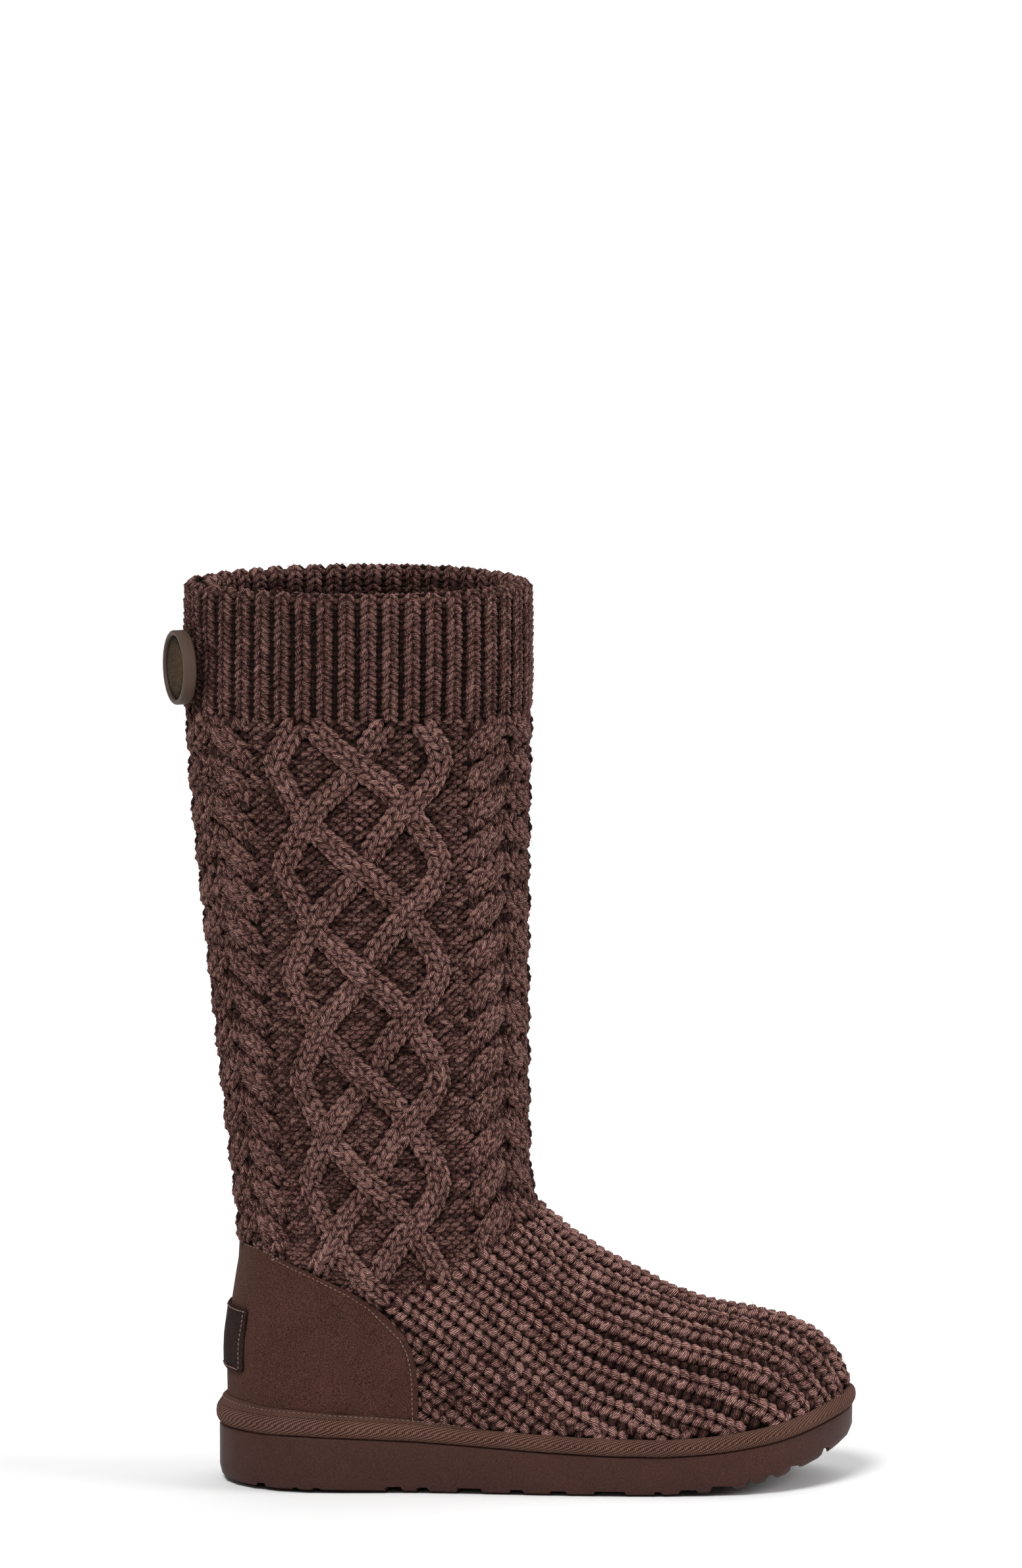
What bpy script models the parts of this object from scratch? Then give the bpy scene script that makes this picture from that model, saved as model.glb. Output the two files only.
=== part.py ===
"""Sweater boot for the right foot: a knitted upper with a suede heel, on a one-piece foam sole.

+X points to the toe, +Y to the medial side and +Z up, and the sole stands on Z = 0. Tables and
sizes are in millimetres, and the meshes are made in metres. The tables share one set of axes,
which an empty moves at the end, so that the boot's box is centred on the origin in X and Y.
"""

import math
from collections import namedtuple

import bmesh
import bpy
from mathutils import Vector

MM = 0.001
FIT_GAP = 0.3  # between pieces that touch
OVERLAY_GAP = 0.45  # between the curved walls of the upper and counter

BOX_CENTRE = (-0.3, -0.8)  # in the tables' axes

# Upper
COLLAR_HEIGHT = 381.0
CUFF_HEIGHT = 58.0
CALF_HEIGHT = 300.0
BEND_HEIGHT = 150.0  # below it the rings lengthen down the front line to the toe
ANKLE_HEIGHT = 118.0  # above it the level sections are plain ovals
WALL = 4.5  # knit with its backing, without the relief of the stitches
COLUMNS = 44  # points round each ring of the upper, sole and binding
CALF_RINGS = 5
FOOT_RINGS = 18
FOOT_BLEND = (-15.0, 55.0)  # along the instep, from oval sections to arched ones
INSTEP_ROUND = 1.5  # the instep is an arch with a narrow top
TOE_BOX_ROUND = 1.95
ROUND_BLEND = (15.0, 68.0)
TOE_ROUND = 50.0

# The lateral end of the cuff laps over the medial end at the back. Angles run from the back
# over the lateral side.
LAP_THICKNESS = 4.2
LAP_EDGE = -0.31
LAP_UNDER_EDGE = 0.35
LAP_STEP = 0.02
LAP_FADE = (0.10, 0.95)
LAP_FOOT = (312.0, 340.0)

# Sole, binding and insole
SEAM_HALF = 3.5  # half the height of the binding
HEEL_EXTRA = 2.5  # how much further the sole and binding reach round the counter
HEEL_EXTRA_END = (-70.0, -30.0)
INSOLE_THICKNESS = 7.0
INSOLE_EDGE = 2.5

# Overlays on the heel
COUNTER_THICKNESS = 1.8
PATCH_THICKNESS = 1.0
PATCH_HALF_WIDTH = 22.5
PATCH_BOTTOM, PATCH_TOP = 48.5, 75.5
PATCH_CORNER = 1.5

# Button
BUTTON_RADIUS = 15.7
BUTTON_THICKNESS = 5.7
BUTTON_LIP = 2.0
BUTTON_RECESS = 2.3
SHANK_RADIUS = 3.5
SHANK_LENGTH = 2.6
BUTTON_HEIGHT = 347.6
BUTTON_ANGLE = 0.245  # round the cuff, from the back
BUTTON_TURN = math.radians(18)  # of its face, from straight back to the lateral side
INLAY_EDGE, INLAY_CROWN = 1.0, 1.7

BackPoint = namedtuple("BackPoint", "height x")
BACK_LINE = [
    BackPoint(381.0, -131.2),
    BackPoint(361.0, -131.4),
    BackPoint(340.0, -131.9),
    BackPoint(322.0, -132.9),
    BackPoint(310.0, -133.0),
    BackPoint(296.0, -132.4),
    BackPoint(268.0, -129.6),
    BackPoint(240.0, -126.8),
    BackPoint(211.0, -123.6),
    BackPoint(183.0, -120.6),
    BackPoint(155.0, -117.6),
    BackPoint(127.0, -114.4),
    BackPoint(106.0, -112.2),
    BackPoint(97.0, -112.4),
    BackPoint(85.0, -114.2),
    BackPoint(71.0, -116.2),
    BackPoint(57.0, -117.7),
    BackPoint(43.0, -117.5),
    BackPoint(24.8, -117.2),
]

FrontPoint = namedtuple("FrontPoint", "height x")
FRONT_LINE = [
    FrontPoint(381.0, 7.3),
    FrontPoint(350.0, 7.6),
    FrontPoint(320.0, 6.8),
    FrontPoint(280.0, 6.0),
    FrontPoint(220.0, 5.6),
    FrontPoint(170.0, 5.7),
    FrontPoint(145.0, 6.1),
    FrontPoint(130.0, 6.8),
    FrontPoint(121.0, 8.2),
    FrontPoint(116.0, 10.8),
    FrontPoint(112.0, 15.0),
    FrontPoint(108.2, 20.0),
    FrontPoint(103.3, 26.5),
    FrontPoint(95.0, 39.0),
    FrontPoint(87.5, 52.0),
    FrontPoint(80.4, 66.0),
    FrontPoint(75.0, 79.0),
    FrontPoint(71.7, 92.0),
    FrontPoint(68.9, 106.0),
    FrontPoint(65.4, 119.0),
    FrontPoint(62.0, 126.0),
    FrontPoint(57.2, 132.0),
    FrontPoint(50.3, 137.0),
    FrontPoint(41.5, 140.5),
    FrontPoint(30.4, 141.3),
]

# Half the width of the level sections, and the shares of their length in the two round ends
Girth = namedtuple("Girth", "height half_width back_round front_round")
GIRTHS = [
    Girth(381.0, 49.5, 0.500, 0.500),
    Girth(324.0, 49.0, 0.500, 0.500),
    Girth(268.0, 47.0, 0.500, 0.500),
    Girth(211.0, 44.5, 0.500, 0.500),
    Girth(155.0, 41.5, 0.500, 0.500),
    Girth(118.0, 39.5, 0.500, 0.500),
    Girth(100.0, 39.0, 0.360, 0.540),
    Girth(80.0, 38.6, 0.236, 0.640),
    Girth(60.0, 38.2, 0.156, 0.610),
    Girth(40.0, 38.0, 0.147, 0.430),
    Girth(22.0, 38.0, 0.147, 0.190),
]

# The foot's plan at the seam before its ends are rounded, the ridge's place in that plan, and
# the heights of the binding's centre line and of the tread
Plan = namedtuple("Plan", "x lateral medial ridge seam tread")
FOOT_PLAN = [
    Plan(-125.0, 36.3, 36.5, 0.0, 28.3, 0.0),
    Plan(-90.0, 36.5, 36.5, 0.0, 28.1, 0.0),
    Plan(-50.0, 37.8, 35.0, 0.3, 26.7, 0.0),
    Plan(-10.0, 42.0, 34.0, 0.8, 24.1, 0.0),
    Plan(20.0, 45.6, 36.8, 1.2, 22.1, 0.0),
    Plan(50.0, 47.6, 41.5, 2.4, 20.9, 0.0),
    Plan(60.0, 47.8, 43.0, 3.0, 20.8, 0.0),
    Plan(78.0, 47.4, 45.0, 4.4, 21.6, 0.9),
    Plan(99.0, 46.2, 46.4, 6.6, 24.1, 3.4),
    Plan(117.0, 44.5, 46.6, 8.8, 27.2, 7.9),
    Plan(135.0, 42.5, 46.2, 10.6, 32.2, 14.2),
    Plan(146.0, 41.5, 46.0, 11.5, 34.8, 19.0),
]

# The side of the sole, as a share of its height above the tread and a place across the ledge
SolePoint = namedtuple("SolePoint", "share out")
SOLE_SIDE = [
    SolePoint(1.00, 2.5),
    SolePoint(0.96, 3.3),
    SolePoint(0.25, 3.2),
    SolePoint(0.09, 2.3),
    SolePoint(0.00, -0.4),
]

# The rolled tape of the binding, in section round its centre line
TapePoint = namedtuple("TapePoint", "out rise")
BINDING_SECTION = [
    TapePoint(0.5, 3.4),
    TapePoint(1.8, 3.5),
    TapePoint(3.7, 2.8),
    TapePoint(4.7, 1.0),
    TapePoint(4.7, -1.2),
    TapePoint(3.7, -2.9),
    TapePoint(1.8, -3.5),
    TapePoint(0.5, -3.4),
]

# The counter's edge in the side view, from the back of the ankle down to the sole
EdgePoint = namedtuple("EdgePoint", "x height")
COUNTER_EDGE = [
    EdgePoint(-130.0, 104.5),
    EdgePoint(-114.0, 102.8),
    EdgePoint(-97.0, 98.2),
    EdgePoint(-82.0, 92.3),
    EdgePoint(-68.0, 86.0),
    EdgePoint(-58.3, 80.3),
    EdgePoint(-51.0, 73.8),
    EdgePoint(-44.8, 67.1),
    EdgePoint(-41.6, 61.0),
    EdgePoint(-40.0, 54.5),
    EdgePoint(-39.1, 46.0),
    EdgePoint(-38.8, 30.0),
]

# The grooves between the lugs, where they cut the sole's lateral edge
Groove = namedtuple("Groove", "start end depth")
GROOVES = [
    Groove(-109.9, -103.9, 3.2),
    Groove(-92.9, -88.0, 2.3),
    Groove(-83.8, -78.3, 2.4),
    Groove(-52.9, -44.0, 3.0),
    Groove(-39.9, -32.9, 2.7),
    Groove(-22.9, -10.1, 2.7),
    Groove(-0.5, 7.3, 2.4),
    Groove(16.2, 24.8, 2.2),
    Groove(34.3, 49.5, 2.3),
    Groove(59.6, 64.6, 2.2),
    Groove(70.4, 79.6, 2.3),
    Groove(83.9, 94.7, 2.5),
    Groove(98.6, 102.6, 2.6),
    Groove(106.0, 111.9, 2.8),
    Groove(114.8, 120.9, 3.2),
    Groove(129.5, 135.6, 3.4),
]
GROOVE_DRAFT = 1.2  # how far each wall leans in over the groove's depth
GROOVE_WAVE = 3.0
GROOVE_WAVE_LENGTH = 44.0
GROOVE_REACH = 62.0  # to each side of the middle
GROOVE_SECTIONS = 9


def mix(a, b, t):
    return a + (b - a) * t


def smoothstep(low, high, x):
    t = min(max((x - low) / (high - low), 0.0), 1.0)
    return t * t * (3 - 2 * t)


def curve(rows, across, up):
    """A smooth function through two columns of a table, which never overshoots its rows."""
    points = sorted((getattr(row, across), getattr(row, up)) for row in rows)
    slopes = [(b[1] - a[1]) / (b[0] - a[0]) for a, b in zip(points, points[1:])]
    tangents = [slopes[0]]
    for before, after in zip(slopes, slopes[1:]):
        same_way = before * after > 0
        tangents.append(2 * before * after / (before + after) if same_way else 0.0)
    tangents.append(slopes[-1])

    def value(x):
        x = min(max(x, points[0][0]), points[-1][0])
        i = 0
        while i < len(slopes) - 1 and x > points[i + 1][0]:
            i += 1
        width = points[i + 1][0] - points[i][0]
        t = (x - points[i][0]) / width
        start_bend = (tangents[i] - slopes[i]) * width
        end_bend = (tangents[i + 1] - slopes[i]) * width
        straight = mix(points[i][1], points[i + 1][1], t)
        return straight + t * (1 - t) * ((1 - t) * start_bend - t * end_bend)

    return value


back_x = curve(BACK_LINE, "height", "x")
front_x = curve(FRONT_LINE, "height", "x")
ridge_height = curve([row for row in FRONT_LINE if row.height < 125], "x", "height")
half_width = curve(GIRTHS, "height", "half_width")
back_round = curve(GIRTHS, "height", "back_round")
front_round = curve(GIRTHS, "height", "front_round")
plan_lateral = curve(FOOT_PLAN, "x", "lateral")
plan_medial = curve(FOOT_PLAN, "x", "medial")
plan_ridge = curve(FOOT_PLAN, "x", "ridge")
seam_height = curve(FOOT_PLAN, "x", "seam")
tread_height = curve(FOOT_PLAN, "x", "tread")


def upper_bottom(x):
    """Height of the upper's lower edge, which stands on the sole behind the binding."""
    return seam_height(x) - SEAM_HALF


def sole_top(x):
    return upper_bottom(x) - FIT_GAP


def binding_top(x):
    return seam_height(x) + SEAM_HALF


def round_end(distance, radius):
    """The share of the full width that is left this far from a round end."""
    inset = 1 - min(max(distance / radius, 0.0), 1.0)
    return math.sqrt(1 - inset * inset)


def level_share(x, z):
    """Share of the full width at x in the level section at height z."""
    length = front_x(z) - back_x(z)
    back = round_end(x - back_x(z), back_round(z) * length)
    front = round_end(front_x(z) - x, front_round(z) * length)
    return back * front


def arch_share(x, z):
    """Share of the full width at height z in the upright section at x, an arch up to the ridge."""
    low = upper_bottom(x)
    rise = min(max((z - low) / (ridge_height(x) - low), 0.0), 1.0)
    power = mix(INSTEP_ROUND, TOE_BOX_ROUND, smoothstep(*ROUND_BLEND, x))
    arch = (1 - rise**power) ** (1 / power)
    return arch * round_end(FRONT_LINE[-1].x - x, TOE_ROUND)


def middle_and_sides(x, z):
    """The ridge's y and the lateral and medial y of the upper's outer surface at x and z."""
    share = mix(level_share(x, z), arch_share(x, z), smoothstep(*FOOT_BLEND, x))
    shaft = smoothstep(upper_bottom(x), ANKLE_HEIGHT, z)
    lateral = mix(plan_lateral(x), half_width(z), shaft)
    medial = mix(plan_medial(x), half_width(z), shaft)
    middle = plan_ridge(x) * (1 - shaft)
    return middle, middle - (middle + lateral) * share, middle + (medial - middle) * share


def even_angles():
    return [2 * math.pi * i / COLUMNS for i in range(COLUMNS)]


def lapped_angles():
    """The even angles, with a pair at each end of the lap for its step."""
    steps = [LAP_EDGE - LAP_STEP, LAP_EDGE, LAP_UNDER_EDGE, LAP_UNDER_EDGE + LAP_STEP]
    return sorted(even_angles() + [angle % (2 * math.pi) for angle in steps])


def ring(back_height, front_height, angles, dip=0.0):
    """One section of the outer surface, from the back line to the front line. The lowest has a
    dip of 1, which bends it from a straight line to the upper's lower edge."""
    back = Vector((back_x(back_height), 0, back_height))
    front = Vector((front_x(front_height), 0, front_height))
    points = []
    for angle in angles:
        share = (1 - math.cos(angle)) / 2
        point = back.lerp(front, share)
        low_x = mix(BACK_LINE[-1].x, FRONT_LINE[-1].x, share)
        straight = mix(BACK_LINE[-1].height, FRONT_LINE[-1].height, share)
        point.z += dip * (upper_bottom(low_x) - straight)
        middle, lateral, medial = middle_and_sides(point.x, point.z)
        point.y = lateral if angle < math.pi else medial
        if math.isclose(math.sin(angle), 0, abs_tol=1e-9):
            point.y = middle
        points.append(point)
    return points


def lower_edge(angles):
    return ring(BACK_LINE[-1].height, FRONT_LINE[-1].height, angles, dip=1.0)


def front_steps(count):
    """Heights at even distances down the front line, from the bend to the toe's tip."""
    top, bottom = BEND_HEIGHT, FRONT_LINE[-1].height
    fine = 400
    samples = [mix(top, bottom, i / fine) for i in range(fine + 1)]
    lengths = [0.0]
    for a, b in zip(samples, samples[1:]):
        lengths.append(lengths[-1] + math.hypot(front_x(b) - front_x(a), b - a))
    wanted = [lengths[-1] * i / count for i in range(count + 1)]
    return [samples[min(range(fine + 1), key=lambda k: abs(lengths[k] - w))] for w in wanted]


def foot_rings(angles, highest=BEND_HEIGHT):
    """The rings below the bend, whose backs come down the heel as their fronts reach the toe."""
    drop = BEND_HEIGHT - FRONT_LINE[-1].height
    rings = []
    for front in front_steps(FOOT_RINGS):
        t = (BEND_HEIGHT - front) / drop
        back = mix(BEND_HEIGHT, BACK_LINE[-1].height, t)
        if back <= highest:
            rings.append(ring(back, front, angles, dip=t * t))
    return rings


def upper_rings(angles):
    cuff_bottom = COLLAR_HEIGHT - CUFF_HEIGHT
    cuff = [COLLAR_HEIGHT, COLLAR_HEIGHT - 14, LAP_FOOT[1] + 8, LAP_FOOT[1] - 4, cuff_bottom + 7]
    heights = cuff + [cuff_bottom, LAP_FOOT[0]]
    calf_step = (CALF_HEIGHT - BEND_HEIGHT) / CALF_RINGS
    heights += [CALF_HEIGHT - calf_step * i for i in range(CALF_RINGS)]
    return [ring(z, z, angles) for z in heights] + foot_rings(angles)


def normals_of(rings):
    """Outward normals of a grid of rings that run down, level at the first and last ring."""
    normals = []
    for i, points in enumerate(rings):
        above, below = rings[max(i - 1, 0)], rings[min(i + 1, len(rings) - 1)]
        row = []
        for j in range(len(points)):
            round_ring = points[(j + 1) % len(points)] - points[j - 1]
            normal = (below[j] - above[j]).cross(round_ring)
            if i in (0, len(rings) - 1):
                normal.z = 0
            row.append(normal.normalized())
        normals.append(row)
    return normals


def offset(rings, distance):
    """The rings moved out along their normals by distance(point, column)."""
    return [
        [point + normal * distance(point, j) for j, (point, normal) in enumerate(zip(points, row))]
        for points, row in zip(rings, normals_of(rings))
    ]


def lap(angle, height):
    """How far the lateral end of the cuff lifts the outer surface."""
    if angle < LAP_EDGE:
        return 0.0
    return LAP_THICKNESS * (1 - smoothstep(*LAP_FADE, angle)) * smoothstep(*LAP_FOOT, height)


def plan_offset(points, distance, height):
    """A level outline moved out by distance, each point then put at height(x). What stands
    well out of the upper reaches further out round the counter."""
    moved = []
    for j, point in enumerate(points):
        along = points[(j + 1) % len(points)] - points[j - 1]
        out = Vector((along.y, -along.x, 0)).normalized()
        extra = HEEL_EXTRA * (1 - smoothstep(*HEEL_EXTRA_END, point.x)) if distance > 1 else 0.0
        place = point + out * (distance + extra)
        moved.append(Vector((place.x, place.y, height(place.x))))
    return moved


def new_collection(name):
    collection = bpy.data.collections.new(name)
    bpy.context.scene.collection.children.link(collection)
    return collection


def finish_of(name, color, roughness, metallic=0.0):
    material = bpy.data.materials.new(name)
    material.use_nodes = True
    shader = material.node_tree.nodes["Principled BSDF"]
    shader.inputs["Base Color"].default_value = (*color, 1)
    shader.inputs["Roughness"].default_value = roughness
    shader.inputs["Metallic"].default_value = metallic
    return material


def object_from(mesh, name, material, collection, smooth_angle=35):
    """Makes an object of a bmesh in millimetres, with its faces pointing out."""
    bmesh.ops.recalc_face_normals(mesh, faces=mesh.faces)
    bmesh.ops.scale(mesh, vec=(MM, MM, MM), verts=mesh.verts)
    data = bpy.data.meshes.new(name)
    mesh.to_mesh(data)
    mesh.free()
    data.shade_smooth()
    data.set_sharp_from_angle(angle=math.radians(smooth_angle))
    if material:
        data.materials.append(material)
    made = bpy.data.objects.new(name, data)
    collection.objects.link(made)
    return made


def bridge(mesh, above, below):
    """Triangles between two rings of vertices, split the same way in every layer."""
    for j, near in enumerate(above):
        far = (j + 1) % len(above)
        mesh.faces.new((near, above[far], below[far]))
        mesh.faces.new((near, below[far], below[j]))


def close_across(mesh, verts):
    """Closes a ring with strips from its lateral half to its medial half."""
    count = len(verts)
    for j in range(count // 2):
        corners = [verts[j], verts[j + 1], verts[-j - 1], verts[-j % count]]
        mesh.faces.new(list(dict.fromkeys(corners)))


def closed_shell(rings_out, rings_in):
    """The wall between two grids of rings, open at both ends of its tube."""
    mesh = bmesh.new()
    loops = [[mesh.verts.new(p) for p in points] for points in rings_out + rings_in[::-1]]
    for above, below in zip(loops, loops[1:] + loops[:1]):
        bridge(mesh, above, below)
    return mesh


def closed_stack(rings):
    """A solid through a stack of rings, flat across its top and bottom."""
    mesh = bmesh.new()
    loops = [[mesh.verts.new(p) for p in points] for points in rings]
    for above, below in zip(loops, loops[1:]):
        bridge(mesh, above, below)
    close_across(mesh, loops[0])
    close_across(mesh, loops[-1])
    return mesh


def prism(corners, reach):
    """A closed prism through an outline of points, drawn out by the vector reach."""
    mesh = bmesh.new()
    face = mesh.faces.new([mesh.verts.new(corner) for corner in corners])
    drawn = bmesh.ops.extrude_face_region(mesh, geom=[face])
    moved = [item for item in drawn["geom"] if isinstance(item, bmesh.types.BMVert)]
    bmesh.ops.translate(mesh, vec=reach, verts=moved)
    return mesh


def cut(target, cutter, operation):
    cutter.hide_render = True
    cutter.display_type = "WIRE"
    modifier = target.modifiers.new(cutter.name, "BOOLEAN")
    modifier.operation = operation
    modifier.solver = "EXACT"
    modifier.object = cutter


def build_upper(collection):
    angles = lapped_angles()
    signed = [a if a < math.pi else a - 2 * math.pi for a in angles]
    rings = upper_rings(angles)

    def outside(point, column):
        return lap(signed[column], point.z)

    def inside(point, column):
        angle = signed[column]
        return -WALL + (lap(angle, point.z) if angle > LAP_UNDER_EDGE else 0.0)

    knit = finish_of("Knitted wool", (0.10, 0.06, 0.05), 0.9)
    shell = closed_shell(offset(rings, outside), offset(rings, inside))
    return object_from(shell, "upper", knit, collection)


def build_outsole(collection, cutters):
    edge = lower_edge(even_angles())
    rings = []
    for point in SOLE_SIDE:
        rings.append(
            plan_offset(edge, point.out, lambda x: mix(tread_height(x), sole_top(x), point.share))
        )
    foam = finish_of("Moulded foam", (0.06, 0.022, 0.016), 0.5)
    outsole = object_from(closed_stack(rings), "outsole", foam, collection)

    grooves = bmesh.new()
    for groove in GROOVES:
        loops = []
        middle = (groove.start + groove.end) / 2
        floor = tread_height(middle) + groove.depth
        below = tread_height(middle) - 10
        flare = GROOVE_DRAFT * (floor - below) / groove.depth
        section = [
            (groove.start + GROOVE_DRAFT, floor),
            (groove.end - GROOVE_DRAFT, floor),
            (groove.end - GROOVE_DRAFT + flare, below),
            (groove.start + GROOVE_DRAFT - flare, below),
        ]
        for i in range(GROOVE_SECTIONS):
            y = mix(-GROOVE_REACH, GROOVE_REACH, i / (GROOVE_SECTIONS - 1))
            from_edge = y + plan_lateral(middle)
            wave = GROOVE_WAVE * math.sin(2 * math.pi * from_edge / GROOVE_WAVE_LENGTH)
            loops.append([grooves.verts.new((x + wave, y, z)) for x, z in section])
        for near, far in zip(loops, loops[1:]):
            bridge(grooves, near, far)
        grooves.faces.new(loops[0])
        grooves.faces.new(loops[-1])
    cut(outsole, object_from(grooves, "sole_grooves", None, cutters), "DIFFERENCE")
    return outsole


def build_binding(collection):
    edge = lower_edge(even_angles())
    loops = []
    mesh = bmesh.new()
    for point in BINDING_SECTION:
        places = plan_offset(edge, point.out, lambda x: seam_height(x) + point.rise)
        loops.append([mesh.verts.new(place) for place in places])
    for above, below in zip(loops, loops[1:] + loops[:1]):
        bridge(mesh, above, below)
    tape = finish_of("Twill tape", (0.115, 0.06, 0.042), 0.8)
    return object_from(mesh, "welt_binding", tape, collection, smooth_angle=60)


def build_insole(collection):
    edge = lower_edge(even_angles())
    side = -WALL - 3 * FIT_GAP
    bottom = FIT_GAP
    top = bottom + INSOLE_THICKNESS
    rings = [
        plan_offset(edge, side - INSOLE_EDGE, lambda x: sole_top(x) + top),
        plan_offset(edge, side, lambda x: sole_top(x) + top - INSOLE_EDGE),
        plan_offset(edge, side, lambda x: sole_top(x) + bottom),
    ]
    fleece = finish_of("Fleece", (0.12, 0.07, 0.055), 1.0)
    return object_from(closed_stack(rings), "insole", fleece, collection)


def overlay(inner, thickness):
    """A wall of this thickness round the foot, inner millimetres off the upper."""
    rings = foot_rings(even_angles(), highest=COUNTER_EDGE[0].height + 20)
    outside = offset(rings, lambda point, column: inner + thickness)
    return closed_shell(outside, offset(rings, lambda point, column: inner))


def build_counter(collection, cutters):
    suede = finish_of("Suede", (0.065, 0.026, 0.019), 0.95)
    counter = object_from(overlay(OVERLAY_GAP, COUNTER_THICKNESS), "heel_counter", suede, collection)

    steps = 16
    start, end = COUNTER_EDGE[0].x, COUNTER_EDGE[-1].x
    edge = [Vector((row.x, -70, row.height)) for row in COUNTER_EDGE]
    edge = [edge[0]] + edge[1:-1] + [Vector((end, -70, binding_top(end) + FIT_GAP))]
    along_sole = [mix(end, start, i / steps) for i in range(1, steps + 1)]
    edge += [Vector((x, -70, binding_top(x) + FIT_GAP)) for x in along_sole]
    trim = object_from(prism(edge, (0, 140, 0)), "counter_trim", None, cutters)
    cut(counter, trim, "INTERSECT")
    return counter


def build_patch(collection, cutters):
    leather = finish_of("Smooth leather", (0.03, 0.018, 0.016), 0.5)
    inner = 2 * OVERLAY_GAP + COUNTER_THICKNESS
    patch = object_from(overlay(inner, PATCH_THICKNESS), "heel_patch", leather, collection)

    corners = []
    centres = [
        (PATCH_HALF_WIDTH, PATCH_TOP, 0),
        (-PATCH_HALF_WIDTH, PATCH_TOP, 90),
        (-PATCH_HALF_WIDTH, PATCH_BOTTOM, 180),
        (PATCH_HALF_WIDTH, PATCH_BOTTOM, 270),
    ]
    for y, z, first_angle in centres:
        for turn in (0, 30, 60, 90):
            angle = math.radians(first_angle + turn)
            centre_y = y - math.copysign(PATCH_CORNER, y)
            centre_z = z - PATCH_CORNER if z == PATCH_TOP else z + PATCH_CORNER
            corner_y = centre_y + PATCH_CORNER * math.cos(angle)
            corner_z = centre_z + PATCH_CORNER * math.sin(angle)
            corners.append(Vector((-140, corner_y, corner_z)))
    trim = object_from(prism(corners, (60, 0, 0)), "patch_trim", None, cutters)
    cut(patch, trim, "INTERSECT")
    return patch


def turned(name, profile, material, collection, steps=28):
    """A turned piece: a profile of (radius, height) points that runs down its outer side."""
    mesh = bmesh.new()
    verts = [mesh.verts.new((radius, 0, height)) for radius, height in profile]
    for a, b in zip(verts, verts[1:]):
        mesh.edges.new((a, b))
    made = object_from(mesh, name, material, collection)
    screw = made.modifiers.new("Turn", "SCREW")
    screw.axis = "Z"
    screw.angle = 2 * math.pi
    screw.steps = screw.render_steps = steps
    screw.use_merge_vertices = True
    screw.merge_threshold = 0.00001
    screw.use_smooth_shade = True
    return made


def build_button(collection):
    base = ring(BUTTON_HEIGHT, BUTTON_HEIGHT, [BUTTON_ANGLE])[0]
    facing = Vector((-math.cos(BUTTON_TURN), -math.sin(BUTTON_TURN), 0))
    lifted = lap(BUTTON_ANGLE, BUTTON_HEIGHT) + 2 * FIT_GAP + SHANK_LENGTH
    back_centre = base + facing * lifted

    radius, thickness = BUTTON_RADIUS, BUTTON_THICKNESS
    floor = thickness - BUTTON_RECESS
    inside = radius - BUTTON_LIP
    rim = finish_of("Horn plastic", (0.10, 0.065, 0.05), 0.45)
    profile = [
        (0, floor),
        (inside - 0.2, floor),
        (inside, thickness - 0.4),
        (inside + 0.4, thickness),
        (radius - 0.5, thickness),
        (radius, thickness - 0.5),
        (radius, 0.6),
        (radius - 0.6, 0),
        (SHANK_RADIUS, 0),
        (SHANK_RADIUS, -SHANK_LENGTH),
        (0, -SHANK_LENGTH),
    ]
    button = turned("button", profile, rim, collection)

    inlay_radius = inside - 0.2 - FIT_GAP
    base_height = floor + FIT_GAP
    bronze = finish_of("Bronze leather", (0.06, 0.05, 0.03), 0.4, metallic=0.3)
    crown = [
        (inlay_radius * t, base_height + mix(INLAY_CROWN, INLAY_EDGE, t * t))
        for t in (0, 0.5, 0.9)
    ]
    edge = [(inlay_radius, base_height + INLAY_EDGE), (inlay_radius, base_height), (0, base_height)]
    inlay = turned("button_inlay", crown + edge, bronze, collection)

    for piece in (button, inlay):
        piece.location = back_centre * MM
        piece.rotation_mode = "QUATERNION"
        piece.rotation_quaternion = Vector((0, 0, 1)).rotation_difference(facing)
    return button, inlay


def main():
    for leftover in list(bpy.data.objects):
        bpy.data.objects.remove(leftover)
    boot = new_collection("sweater_boot")
    cutters = new_collection("cutters")
    build_upper(boot)
    build_outsole(boot, cutters)
    build_binding(boot)
    build_insole(boot)
    build_counter(boot, cutters)
    build_patch(boot, cutters)
    build_button(boot)

    centre = bpy.data.objects.new("boot_centre", None)
    boot.objects.link(centre)
    for piece in [*boot.objects, *cutters.objects]:
        if piece != centre:
            piece.parent = centre
    centre.location = (-BOX_CENTRE[0] * MM, -BOX_CENTRE[1] * MM, 0)


main()
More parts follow.
